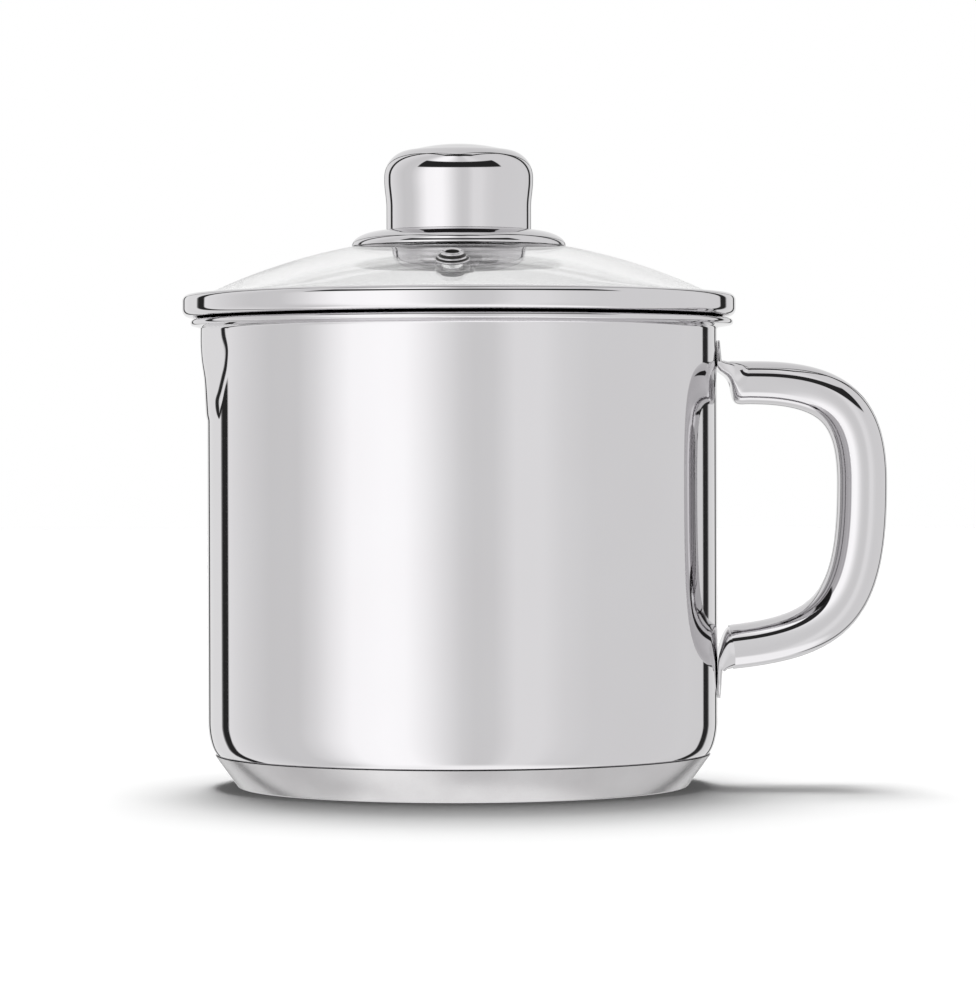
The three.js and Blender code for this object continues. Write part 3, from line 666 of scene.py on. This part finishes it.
ledge = RIM_HEIGHT + SEAT
band_radius = lip_tip + BAND_OVERHANG
band_bottom = ledge + BAND_STEP
glass_bottom = band_bottom + BAND_SHEET + SEAT
glass_top = glass_bottom + GLASS_THICKNESS
band_top = glass_top + SEAT + BAND_SHEET
glass_radius = band_radius - BAND_SHEET - GLASS_EDGE_PLAY
dome_radius = band_radius - GLASS_FLAT_WIDTH
glass_apex = glass_top + GLASS_RISE
dome_sag = DOME_RISE_SHARE * GLASS_RISE
sphere_radius = (dome_radius**2 + dome_sag**2) / (2 * dome_sag)
dome_centre = glass_apex - sphere_radius
inner_sphere = sphere_radius - GLASS_THICKNESS
lid_place = Matrix.Translation(Vector((-LID_SHIFT_SHARE * SKIRT_CLEARANCE, 0, 0)) * mm)


def dome_height(r, sphere):
    """How high the dome stands at a radius."""
    return dome_centre + math.sqrt(sphere**2 - r**2)


def dome_run(sphere, edge_z):
    """The dome from the knob's hole outwards, and the turn at its foot into the flat edge."""
    run = []
    for i in range(DOME_STEPS + 1):
        r = mix(STACK_HOLE_RADIUS, dome_radius, i / DOME_STEPS)
        run.append((r, dome_height(r, sphere)))
    start_z = dome_height(dome_radius, sphere)
    slope = dome_radius / math.sqrt(sphere**2 - dome_radius**2)
    reach = (start_z - edge_z) / slope
    for i in range(1, DOME_FOOT_STEPS + 1):
        t = i / DOME_FOOT_STEPS
        run.append((
            dome_radius + 2 * reach * t,
            start_z * (1 - t) ** 2 + edge_z * (2 * t * (1 - t) + t**2),
        ))
    return run


edge_centre = glass_radius - GLASS_EDGE_RADIUS
glass = turned("lid_dome", [
    *dome_run(inner_sphere, glass_bottom),
    *arc(edge_centre, glass_bottom + GLASS_EDGE_RADIUS, GLASS_EDGE_RADIUS, -90, 0, 5),
    *arc(edge_centre, glass_top - GLASS_EDGE_RADIUS, GLASS_EDGE_RADIUS, 0, 90, 5),
    *reversed(dome_run(sphere_radius, glass_top)),
], LID_SIDES, ring=True)
eyelet_distance = dome_radius - EYELET_INSET
eyelet_tilt = math.asin(math.hypot(eyelet_distance, EYELET_SIDE_OFFSET) / sphere_radius)
eyelet_turn = math.atan2(EYELET_SIDE_OFFSET, eyelet_distance)
eyelet_place = (
    Matrix.Translation(Vector((0, 0, dome_centre)) * mm)
    @ Matrix.Rotation(eyelet_turn, 4, "Z")
    @ Matrix.Rotation(eyelet_tilt, 4, "X")
)
hole_radius = EYELET_TUBE_RADIUS + EYELET_GAP
drill_bottom = sphere_radius - DRILL_BELOW
drill_top = sphere_radius + DRILL_ABOVE
drill = turned("eyelet_drill", [
    (0, drill_bottom), (hole_radius, drill_bottom), (hole_radius, drill_top), (0, drill_top),
], DRILL_SIDES)
drill.data.transform(eyelet_place)
cut_away(glass, drill)
glass.data.transform(lid_place)
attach(glass, "lid")
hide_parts("lid_glass")

# Tempered soda-lime glass: bright edges and a clear view through, hardly bent by the mould's roll
glass_material, glass_tree = new_material("tempered clear glass")
place = add(glass_tree, "TexCoord").outputs["Object"]
rolling = add(glass_tree, "TexNoise", {
    "Vector": place, "Scale": 1 / (GLASS_ROLL_SIZE * mm), "Detail": 1,
})
wave = add(glass_tree, "Bump", {
    "Height": rolling.outputs["Fac"], "Distance": GLASS_ROLL_DEPTH * mm,
})
glass_shader = add(glass_tree, "BsdfPrincipled", {
    "Base Color": linear(GLASS_TINT), "Roughness": 0.01, "IOR": 1.52, "Transmission Weight": 1,
    "Normal": wave.outputs[0],
})
add(glass_tree, "OutputMaterial", {"Surface": glass_shader.outputs[0]})
glass.data.materials.append(glass_material)

# Lid band: one strip of stainless sheet rolled over the glass edge, stepped under it, and turned
# down as the skirt that centres the lid in the pot. Its outside is buffed like the pot.
BAND_TOP_CORNER = 1.9
BAND_BOTTOM_CORNER = 2.2
BAND_LIP_WIDTH = 4.4
BAND_SAG = 0.5
SKIRT_DEPTH = 7.0
SKIRT_BEND = 1.6
LEDGE_WIDTH = 4.4
SKIRT_EDGE_BREAK = 0.15
BAND_EDGE_BREAK = 0.2
BUFFED_ROUGHNESS = 0.03

band_under = band_bottom - BAND_SAG
skirt_radius = INSIDE_RADIUS - SKIRT_CLEARANCE
bend_r = skirt_radius + SKIRT_BEND
bend_z = ledge - SKIRT_BEND
skirt_end = bend_z - SKIRT_DEPTH
top_corner_r = band_radius - BAND_TOP_CORNER
top_corner_z = band_top - BAND_TOP_CORNER
bottom_corner_r = band_radius - BAND_BOTTOM_CORNER
bottom_corner_z = band_under + BAND_BOTTOM_CORNER
ledge_end = skirt_radius + LEDGE_WIDTH
lip_edge = band_radius - BAND_LIP_WIDTH
step_run = bottom_corner_r - ledge_end
step_drop = BAND_STEP - BAND_SAG
step_length = math.hypot(step_run, step_drop)
band = turned("lid_band_rolled", [
    (skirt_radius - BAND_SHEET, skirt_end + SKIRT_EDGE_BREAK),
    (skirt_radius - BAND_SHEET + SKIRT_EDGE_BREAK, skirt_end),
    (skirt_radius - SKIRT_EDGE_BREAK, skirt_end),
    (skirt_radius, skirt_end + SKIRT_EDGE_BREAK),
    *arc(bend_r, bend_z, SKIRT_BEND, 180, 90, 8),
    (ledge_end, ledge),
    *arc(bottom_corner_r, bottom_corner_z, BAND_BOTTOM_CORNER, -90, 0, 12),
    *arc(top_corner_r, top_corner_z, BAND_TOP_CORNER, 0, 90, 12),
    (lip_edge + BAND_EDGE_BREAK, band_top),
    (lip_edge, band_top - BAND_EDGE_BREAK),
    (lip_edge, band_top - BAND_SHEET),
    *arc(top_corner_r, top_corner_z, BAND_TOP_CORNER - BAND_SHEET, 90, 0, 8),
    *arc(bottom_corner_r, bottom_corner_z, BAND_BOTTOM_CORNER - BAND_SHEET, 0, -90, 8),
    (
        ledge_end - step_drop * BAND_SHEET / step_length,
        ledge + step_run * BAND_SHEET / step_length,
    ),
    *arc(bend_r, bend_z, SKIRT_BEND + BAND_SHEET, 90, 180, 8),
], LID_SIDES, ring=True)
band.data.transform(lid_place)
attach(band, "lid")
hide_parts("lid_band")
band.data.materials.append(mirror_steel(
    "polished stainless band", POLISH_LINE_SPACING, BUFFED_ROUGHNESS,
))

# Steam eyelet: a stepped stainless grommet pushed through the glass from above and curled out over
# a flat washer underneath, so that it clamps the glass between them.
EYELET_FLANGE_RADIUS = 4.7
EYELET_BORE_RADIUS = 1.8
EYELET_HEIGHT = 2.7
EYELET_CURL_RADIUS = 3.3
EYELET_SHEET = 0.65
EYELET_WASHER_RADIUS = 4.6
EYELET_WASHER_THICKNESS = 0.6
EYELET_SIDES = 96
FINE_LINE_SPACING = 0.3
# Near-black painted shade for the eyelet's grooves and bore, with its mottle
GROOVE_SHADE = 0x1C1B1A
GROOVE_SHADE_LIGHT = 0x34312F
GROOVE_SHADE_GRAIN = 0.5
# Rows of the eyelet's section that lie in its grooves and bore, which are painted dark as shade
SHADED_ROWS = (11, 12, 20, 21, 30, 31, 43, 44)
EDGE_BREAK = 0.1
WASHER_GRAIN = 0.3
WASHER_ROUGHNESS = 0.3

seat = sphere_radius + EYELET_GAP
under = inner_sphere - EYELET_GAP
curl_top = under - EYELET_WASHER_THICKNESS - SEAT
tier = EYELET_HEIGHT / 5
ring_radius = EYELET_TUBE_RADIUS + EYELET_SHEET
tier_radius = (ring_radius + EYELET_FLANGE_RADIUS) / 2
curl = EYELET_SHEET / 2
# The tiers over the flange are rolled rings, placed in shares of a tier's height
eyelet = turned("steam_eyelet", [
    (EYELET_BORE_RADIUS, curl_top - EYELET_SHEET),
    *arc(EYELET_CURL_RADIUS - curl, curl_top - curl, curl, -90, 90, 8),
    (EYELET_TUBE_RADIUS, curl_top),
    (EYELET_TUBE_RADIUS, seat),
    *arc(EYELET_FLANGE_RADIUS - tier / 2, seat + tier / 2, tier / 2, -90, 90, 8),
    (tier_radius + 0.3 * tier, seat + 1.15 * tier),
    *arc(tier_radius - tier / 2, seat + 1.9 * tier, 0.6 * tier, -50, 80, 8),
    (ring_radius, seat + 2.7 * tier),
    *arc(ring_radius - 0.9 * tier, seat + 3.9 * tier, 1.05 * tier, -40, 110, 10),
    (EYELET_BORE_RADIUS + 0.15 * tier, seat + 4.5 * tier),
    (EYELET_BORE_RADIUS, seat + 4 * tier),
], EYELET_SIDES, ring=True)
eyelet.data.transform(lid_place @ eyelet_place)
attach(eyelet, "lid")
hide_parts("vent_eyelet")
eyelet.data.materials.append(mirror_steel(
    "polished eyelet steel", FINE_LINE_SPACING, BUFFED_ROUGHNESS,
))
# Painted shade in the grooves and the bore: black, dull and a little mottled, standing in for the
# shade that falls in them
shade_material, shade_tree = new_material("painted groove shade")
place = add(shade_tree, "TexCoord").outputs["Object"]
shade_mottle = add(shade_tree, "TexNoise", {
    "Vector": place, "Scale": 1 / (GROOVE_SHADE_GRAIN * mm), "Detail": 3,
})
shade_colour = add(shade_tree, "Mix", {
    "Factor": shade_mottle.outputs["Fac"], "A": linear(GROOVE_SHADE), "B": linear(GROOVE_SHADE_LIGHT),
}, data_type="RGBA")
shade_shader = add(shade_tree, "BsdfPrincipled", {
    "Base Color": shade_colour.outputs["Result"], "Roughness": 0.5,
})
add(shade_tree, "OutputMaterial", {"Surface": shade_shader.outputs[0]})
eyelet.data.materials.append(shade_material)
# The faces in the grooves and the bore take the painted shade
for row in SHADED_ROWS:
    for face in eyelet.data.polygons[row * EYELET_SIDES:(row + 1) * EYELET_SIDES]:
        face.material_index = 1

washer_hole = EYELET_TUBE_RADIUS + SEAT
eyelet_washer = turned("eyelet_washer", [
    (washer_hole, under - EYELET_WASHER_THICKNESS),
    (EYELET_WASHER_RADIUS - EDGE_BREAK, under - EYELET_WASHER_THICKNESS),
    (EYELET_WASHER_RADIUS, under - EYELET_WASHER_THICKNESS + EDGE_BREAK),
    (EYELET_WASHER_RADIUS, under - EDGE_BREAK),
    (EYELET_WASHER_RADIUS - EDGE_BREAK, under),
    (washer_hole, under),
], EYELET_SIDES, ring=True)
eyelet_washer.data.transform(lid_place @ eyelet_place)
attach(eyelet_washer, "lid")
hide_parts("vent_washer")
eyelet_washer.data.materials.append(satin_steel(
    "stamped washer steel", WASHER_GRAIN, WASHER_ROUGHNESS,
))

# Knob stack under and over the glass: two silicone gaskets keep steel off glass, and a screw with a
# flat washer pulls the knob down on them from below.
GASKET_THICKNESS = 0.8
UPPER_GASKET_RADIUS = 9.0
LOWER_GASKET_RADIUS = 6.5
WASHER_THICKNESS = 0.8
WASHER_RADIUS = 6.0
SCREW_RADIUS = 2.5
SCREW_CLEARANCE = 0.3
SCREW_HEAD_RADIUS = 4.6
SCREW_HEAD_HEIGHT = 2.8
SCREW_LENGTH = 20.0
SCREW_CROWN_SHARE = 0.55
SCREW_CROWN = 0.05
SCREW_HEAD_ROUND = 1.2
SCREW_HEAD_ROUND_UP = 1.3
SCREW_END = 2.0
SCREW_SLOT_WIDTH = 1.1
SCREW_SLOT_REACH = 2.6
SCREW_SLOT_DEPTH = 1.3
SCREW_SIDES = 96
THREAD_PITCH = 0.8
THREAD_DEPTH = 0.4
GASKET_EDGE_BREAK = 0.15
SILICONE = 0xDCDCD8
SILICONE_BLOOM_SIZE = 0.4
FASTENER_ROUGHNESS = 0.28
KNOB_SIDES = 192

hole_r = SCREW_RADIUS + SCREW_CLEARANCE
upper_gasket_z = glass_apex + SEAT
rosette_under = upper_gasket_z + GASKET_THICKNESS + SEAT
lower_gasket_top = dome_height(LOWER_GASKET_RADIUS, inner_sphere) - SEAT
washer_top = lower_gasket_top - GASKET_THICKNESS - SEAT
screw_seat = washer_top - WASHER_THICKNESS - SEAT


def disc(name, node, outer, bottom, thickness, edge):
    """A flat ring with softened edges, in place of its node."""
    piece = turned(name, [
        (hole_r, bottom + edge), (hole_r + edge, bottom), (outer - edge, bottom),
        (outer, bottom + edge), (outer, bottom + thickness - edge),
        (outer - edge, bottom + thickness),
        (hole_r + edge, bottom + thickness), (hole_r, bottom + thickness - edge),
    ], KNOB_SIDES, ring=True)
    piece.data.transform(lid_place)
    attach(piece, "lid")
    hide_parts(node)
    return piece


# Silicone rubber, moulded in a matt die: milky and soft-edged, with a powdery bloom
silicone, silicone_tree = new_material("moulded silicone rubber")
place = add(silicone_tree, "TexCoord").outputs["Object"]
bloom = add(silicone_tree, "TexNoise", {
    "Vector": place, "Scale": 1 / (SILICONE_BLOOM_SIZE * mm), "Detail": 3,
})
dull = add(silicone_tree, "MapRange", {
    "Value": bloom.outputs["Fac"], "To Min": 0.5, "To Max": 0.65,
})
silicone_shader = add(silicone_tree, "BsdfPrincipled", {
    "Base Color": linear(SILICONE), "Roughness": dull.outputs[0], "IOR": 1.41,
})
add(silicone_tree, "OutputMaterial", {"Surface": silicone_shader.outputs[0]})

upper_gasket = disc(
    "gasket_above", "knob_gasket_upper", UPPER_GASKET_RADIUS, upper_gasket_z,
    GASKET_THICKNESS, GASKET_EDGE_BREAK,
)
lower_gasket = disc(
    "gasket_below", "knob_gasket_lower", LOWER_GASKET_RADIUS, lower_gasket_top - GASKET_THICKNESS,
    GASKET_THICKNESS, GASKET_EDGE_BREAK,
)
for gasket in (upper_gasket, lower_gasket):
    gasket.data.materials.append(silicone)

fastener_steel = satin_steel("turned fastener steel", WASHER_GRAIN, FASTENER_ROUGHNESS)
washer = disc(
    "screw_washer", "knob_washer", WASHER_RADIUS, washer_top - WASHER_THICKNESS,
    WASHER_THICKNESS, EDGE_BREAK,
)
washer.data.materials.append(fastener_steel)

head = screw_seat - SCREW_HEAD_HEIGHT
thread_rows = int((SCREW_LENGTH - SCREW_END) / (THREAD_PITCH / 2))
screw = turned("knob_screw_m5", [
    (0, head),
    (SCREW_CROWN_SHARE * SCREW_HEAD_RADIUS, head + SCREW_CROWN),
    *arc(
        SCREW_HEAD_RADIUS - SCREW_HEAD_ROUND, head + SCREW_HEAD_ROUND_UP, SCREW_HEAD_ROUND,
        -80, 0, 8,
    ),
    (SCREW_HEAD_RADIUS, screw_seat - EDGE_BREAK),
    (SCREW_HEAD_RADIUS - EDGE_BREAK, screw_seat),
    (SCREW_RADIUS, screw_seat),
    *[
        (
            SCREW_RADIUS - (i % 2) * THREAD_DEPTH,
            screw_seat + SCREW_END / 2 + i * THREAD_PITCH / 2,
        )
        for i in range(thread_rows)
    ],
    (SCREW_RADIUS / 2, screw_seat + SCREW_LENGTH),
    (0, screw_seat + SCREW_LENGTH),
], SCREW_SIDES)
# The driver's cross is cut with two bars that start clear of the head
slot_half = SCREW_SLOT_WIDTH / 2
for bar_turn in (0, math.pi / 2):
    bar = new_piece("slot_cutter", [
        (x, y, z)
        for x in (-SCREW_SLOT_REACH, SCREW_SLOT_REACH)
        for y in (-slot_half, slot_half)
        for z in (head - 1, head + SCREW_SLOT_DEPTH)
    ], [(0, 1, 3, 2), (4, 6, 7, 5), (0, 4, 5, 1), (2, 3, 7, 6), (0, 2, 6, 4), (1, 5, 7, 3)])
    bar.data.transform(Matrix.Rotation(bar_turn, 4, "Z"))
    cut_away(screw, bar)
screw.data.transform(lid_place)
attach(screw, "lid")
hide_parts("knob_screw")
screw.data.materials.append(fastener_steel)

# Rosette: a small dished disc of stainless sheet between the knob and the dome. Its rim stands on
# the glass and its flat top carries the knob.
ROSETTE_BRIM = 9.6
ROSETTE_SHEET = 0.6
ROSETTE_STEPS = 24
KNOB_SHEET = 0.8
KNOB_NECK_RADIUS = 20.1

rosette_top = rosette_under + ROSETTE_SHEET
rosette_shoulder = KNOB_NECK_RADIUS - KNOB_SHEET / 2
rosette_radius = KNOB_NECK_RADIUS + ROSETTE_BRIM
rosette_rim = dome_height(rosette_radius, sphere_radius) + SEAT
rosette_outer = []
rosette_inner = []
brim = rosette_radius - rosette_shoulder
for i in range(ROSETTE_STEPS + 1):
    angle = math.radians(90 * i / ROSETTE_STEPS)
    across, up = math.sin(angle), math.cos(angle)
    rosette_outer.append((rosette_shoulder + brim * across, mix(rosette_rim, rosette_top, up)))
    rosette_inner.append((
        rosette_shoulder + (brim - ROSETTE_SHEET) * across, mix(rosette_rim, rosette_under, up),
    ))
rosette = turned("knob_rosette_dish", [
    (hole_r, rosette_under), *rosette_inner, *reversed(rosette_outer), (hole_r, rosette_top),
], KNOB_SIDES, ring=True)
rosette.data.transform(lid_place)
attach(rosette, "lid")
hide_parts("knob_rosette")
rosette.data.materials.append(mirror_steel(
    "polished rosette steel", FINE_LINE_SPACING, BUFFED_ROUGHNESS,
))

# Knob: a cup drawn from stainless sheet, waisted for the fingers, with a round shoulder and a
# crowned top, standing mouth down on the rosette. A threaded boss is welded inside it.
KNOB_HEIGHT = 23.9
KNOB_SWELL = 0.6
KNOB_SHOULDER_RADIUS = 7.7
BULGE_HEIGHT_SHARE = 0.57
NECK_HEIGHT_SHARE = 0.26
CROWN_DROP_SHARE = 0.07
KNOB_SEAT = 0.04
KNOB_STEPS = 16

knob_rim = rosette_top + KNOB_SEAT
knob_top = knob_rim + KNOB_HEIGHT
crown_edge = knob_top - CROWN_DROP_SHARE * KNOB_HEIGHT
knob_bulge_radius = KNOB_NECK_RADIUS + KNOB_SWELL
shoulder_r = knob_bulge_radius - KNOB_SHOULDER_RADIUS
shoulder_z = crown_edge - KNOB_SHOULDER_RADIUS
bulge_z = knob_rim + BULGE_HEIGHT_SHARE * KNOB_HEIGHT
neck_z = knob_rim + NECK_HEIGHT_SHARE * KNOB_HEIGHT
swell = []
for i in range(KNOB_STEPS + 1):
    place, _ = bezier((
        Vector((KNOB_NECK_RADIUS, neck_z)),
        Vector((KNOB_NECK_RADIUS, mix(neck_z, bulge_z, 1 / 3))),
        Vector((knob_bulge_radius, mix(neck_z, bulge_z, 2 / 3))),
        Vector((knob_bulge_radius, bulge_z)),
    ), i / KNOB_STEPS)
    swell.append(tuple(place))
crown = []
for i in range(1, KNOB_STEPS + 1):
    t = i / KNOB_STEPS
    crown.append((
        shoulder_r * (1 - t) ** 2 + shoulder_r / 2 * 2 * t * (1 - t),
        crown_edge * (1 - t) ** 2 + knob_top * (2 * t * (1 - t) + t**2),
    ))
inside_top = knob_top - KNOB_SHEET
knob = turned("knob_shell", [
    (0, inside_top),
    (shoulder_r, crown_edge - KNOB_SHEET),
    *arc(shoulder_r, shoulder_z, KNOB_SHOULDER_RADIUS - KNOB_SHEET, 90, 0, 10)[1:],
    (KNOB_NECK_RADIUS - KNOB_SHEET, neck_z),
    (KNOB_NECK_RADIUS - KNOB_SHEET, knob_rim + EDGE_BREAK),
    (KNOB_NECK_RADIUS - KNOB_SHEET + EDGE_BREAK, knob_rim),
    (KNOB_NECK_RADIUS - EDGE_BREAK, knob_rim),
    (KNOB_NECK_RADIUS, knob_rim + EDGE_BREAK),
    *swell,
    *arc(shoulder_r, shoulder_z, KNOB_SHOULDER_RADIUS, 0, 90, 24),
    *crown[:-1],
    (0, knob_top),
], KNOB_SIDES)
knob.data.transform(lid_place)
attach(knob, "lid")
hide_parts("knob_cap")
knob.data.materials.append(mirror_steel(
    "polished knob steel", FINE_LINE_SPACING, BUFFED_ROUGHNESS,
))
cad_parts["knob_boss"].data.materials.clear()
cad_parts["knob_boss"].data.materials.append(fastener_steel)

# Floor of the studio: a wide sheet of matt white board that takes the pan's shadow. Glossy rays
# pass through it to the white below, so the steel mirrors the studio and not the board's edge.
FLOOR_RADIUS = 4000.0
FLOOR_DROP = 0.05
FLOOR_SIDES = 96
BOARD_WHITENESS = 1.12

floor = turned("floor", [(0, -FLOOR_DROP), (FLOOR_RADIUS, -FLOOR_DROP)], FLOOR_SIDES)
# Matt painted board: white and even, with no sheen
board_material, board_tree = new_material("matt white board")
board = add(board_tree, "BsdfDiffuse", {"Color": [BOARD_WHITENESS] * 3 + [1]})
rays = add(board_tree, "LightPath")
clear = add(board_tree, "BsdfTransparent")
board_mix = add(board_tree, "MixShader", {
    0: rays.outputs["Is Glossy Ray"], 1: board.outputs[0], 2: clear.outputs[0],
})
add(board_tree, "OutputMaterial", {"Surface": board_mix.outputs[0]})
floor.data.materials.append(board_material)

# Lamps: a row of soft boxes hung from straight over the pan to high behind it, which throw one soft
# shadow forwards. The steel and the glass don't mirror them, because they mirror the tent.
# Each is its height angle, its share of the light and its spread.
LAMPS = ((84.0, 0.34, 22.0), (70.0, 0.4, 22.0), (57.0, 0.26, 24.0))
LAMP_TURN = -4.0
LAMP_STRENGTH = 2.62

for height_angle, share, spread in LAMPS:
    lamp_data = bpy.data.lights.new("soft_box", "SUN")
    lamp_data.energy = share * LAMP_STRENGTH
    lamp_data.angle = math.radians(spread)
    lamp = bpy.data.objects.new("soft_box", lamp_data)
    bpy.context.collection.objects.link(lamp)
    lamp.rotation_euler = Euler((
        math.radians(height_angle - 90), 0, math.radians(-LAMP_TURN),
    ))
    lamp.visible_glossy = False
    lamp.visible_transmission = False

# Light tent: white walls all round, brightest where the main panel stands to the left of the
# camera. Black flags hang in both back corners and over the camera, and a dark slit is left where
# the walls end behind the pan. Only reflections show it: the camera, also through the glass, sees
# plain white.

# Each wall stop is an angle from the camera's side, to the right, and the wall's brightness there
WALL_STOPS = (
    (-180, 0.9), (-150, 0.97), (-138.3, 1.06), (-137.7, 0.03), (-130.3, 0.03), (-129.7, 1.14),
    (-110, 1.02), (-95, 0.93), (-78, 0.95), (-68, 1.12), (-60, 1.33), (-50, 1.55), (-34, 1.6),
    (-25, 1.58), (-16, 1.4), (-8, 1.2), (0, 1.02), (6, 0.96), (14, 0.98), (24, 1.15), (36, 1.15),
    (46, 1.06), (60, 1.0), (120, 1.0), (138.1, 0.93), (138.7, 0.03), (146.1, 0.03), (146.7, 0.9),
    (180, 0.9),
)
# The slit opens overhead. Each stop is a rise from the level on the side, and the angle off the
# camera where the slit's edge stands there
GAP_NEAR_STOPS = ((-90, 160.5), (30, 160.5), (62, 120), (78, 83), (90, 79))
GAP_FAR_STOPS = ((-90, 164.5), (30, 164.5), (62, 125), (78, 92), (90, 93))
GAP_SOFTNESS = 1.0
BLACK_LEVEL = 0.03
WALL_TOP = 2.0
# A long black flag hangs over the camera: its angles to the right and up
FLAG_TURN = (-72.0, 76.0)
FLAG_RISE = (28.0, 52.0)
FLAG_SOFTNESS = 1.5
# The white ground shows through the board from these angles down
GROUND_LEVEL = 1.46
GROUND_FROM = -50.0
GROUND_TO = -64.0
# Matt surfaces are lit by the lamps, and by this much even light in place of the tent
FILL_LEVEL = 0.13

world = bpy.data.worlds.new("studio")
world.use_nodes = True
tent = world.node_tree
tent.nodes.clear()
bpy.context.scene.world = world


def reckon(operation, first, second=0):
    """A sum of the tent's node tree."""
    return add(tent, "Math", {0: first, 1: second}, operation=operation).outputs[0]


def share_of(value, low, high, first=0, last=1):
    """Where a value stands between low and high, held at the ends."""
    return add(tent, "MapRange", {
        "Value": value, "From Min": low, "From Max": high, "To Min": first, "To Max": last,
    }, interpolation_type="SMOOTHSTEP").outputs[0]


def ramp(share, stops, low, high, top):
    """Reads a level along stops, whose angles run between low and high and levels up to top."""
    made = add(tent, "ValToRGB", {0: share})
    elements = made.color_ramp.elements
    while len(elements) > 1:
        elements.remove(elements[-1])
    for k, (angle, level) in enumerate(stops):
        position = (angle - low) / (high - low)
        element = elements[0] if k == 0 else elements.new(position)
        element.position = position
        element.color = (level / top, level / top, level / top, 1)
    return reckon("MULTIPLY", made.outputs["Color"], top)


def blend(share, first, second):
    """The level a share of the way from first to second."""
    return add(tent, "Mix", {"Factor": share, "A": first, "B": second}).outputs["Result"]


degree = math.pi / 180
direction = add(tent, "TexCoord").outputs["Generated"]
right, away, up = add(tent, "SeparateXYZ", {0: direction}).outputs
towards = reckon("MULTIPLY", away, -1)
turn = reckon("DIVIDE", reckon("ARCTAN2", right, towards), degree)
turn_share = add(tent, "MapRange", {
    "Value": turn, "From Min": -180, "From Max": 180,
}).outputs[0]
wall_level = ramp(turn_share, WALL_STOPS, -180, 180, WALL_TOP)
rise = reckon("DIVIDE", reckon("ARCSINE", up), degree)
walls_and_ground = blend(share_of(rise, GROUND_FROM, GROUND_TO), wall_level, GROUND_LEVEL)
aside = reckon("ABSOLUTE", right)
climb = reckon("DIVIDE", reckon("ARCTAN2", up, aside), degree)
climb_share = add(tent, "MapRange", {
    "Value": climb, "From Min": -90, "From Max": 90,
}).outputs[0]
off_axis = reckon("DIVIDE", reckon("ARCCOSINE", towards), degree)
past_near = reckon("SUBTRACT", off_axis, ramp(climb_share, GAP_NEAR_STOPS, -90, 90, 180))
past_far = reckon("SUBTRACT", off_axis, ramp(climb_share, GAP_FAR_STOPS, -90, 90, 180))
started = share_of(past_near, -GAP_SOFTNESS, GAP_SOFTNESS)
not_ended = share_of(past_far, -GAP_SOFTNESS, GAP_SOFTNESS, 1, 0)
in_gap = reckon("MULTIPLY", started, not_ended)
in_flag = 1
for heading, (low, high) in ((turn, FLAG_TURN), (rise, FLAG_RISE)):
    started = share_of(heading, low - FLAG_SOFTNESS, low + FLAG_SOFTNESS)
    not_ended = share_of(heading, high - FLAG_SOFTNESS, high + FLAG_SOFTNESS, 1, 0)
    in_flag = reckon("MULTIPLY", reckon("MULTIPLY", in_flag, started), not_ended)
in_black = reckon("MAXIMUM", in_gap, in_flag)
tent_level = blend(in_black, walls_and_ground, BLACK_LEVEL)
tent_light = add(tent, "Background", {"Color": tent_level, "Strength": 1})
backdrop = add(tent, "Background", {"Color": (1, 1, 1, 1), "Strength": 1})
rays = add(tent, "LightPath").outputs
fill = add(tent, "Background", {"Color": (1, 1, 1, 1), "Strength": FILL_LEVEL})
scattered = reckon("GREATER_THAN", rays["Diffuse Depth"], 0.5)
tent_light = add(tent, "MixShader", {0: scattered, 1: tent_light.outputs[0], 2: fill.outputs[0]})
seen = reckon("MAXIMUM", rays["Is Camera Ray"], rays["Is Transmission Ray"])
shown = add(tent, "MixShader", {0: seen, 1: tent_light.outputs[0], 2: backdrop.outputs[0]})
add(tent, "OutputWorld", {"Surface": shown.outputs[0]})

# Camera: a long lens a little over a metre away, nearly level, at the height of the handle's
# grip. It looks down by the pitch, and the picture is turned by the roll, both in degrees.
CAMERA_PLACE = (7.1, -1217, 93.07)
CAMERA_PITCH = 0.654
CAMERA_ROLL = 0.15
CAMERA_LENS = 157.97
CAMERA_SENSOR = 36

camera_data = bpy.data.cameras.new("camera")
camera_data.sensor_fit = "VERTICAL"
camera_data.sensor_height = CAMERA_SENSOR
camera_data.lens = CAMERA_LENS
camera = bpy.data.objects.new("camera", camera_data)
bpy.context.collection.objects.link(camera)
pitch = Matrix.Rotation(math.radians(90 - CAMERA_PITCH), 4, "X")
roll = Matrix.Rotation(math.radians(-CAMERA_ROLL), 4, "Z")
camera.matrix_world = Matrix.Translation(Vector(CAMERA_PLACE) * mm) @ pitch @ roll
bpy.context.scene.camera = camera
bpy.context.scene.view_settings.view_transform = "Standard"
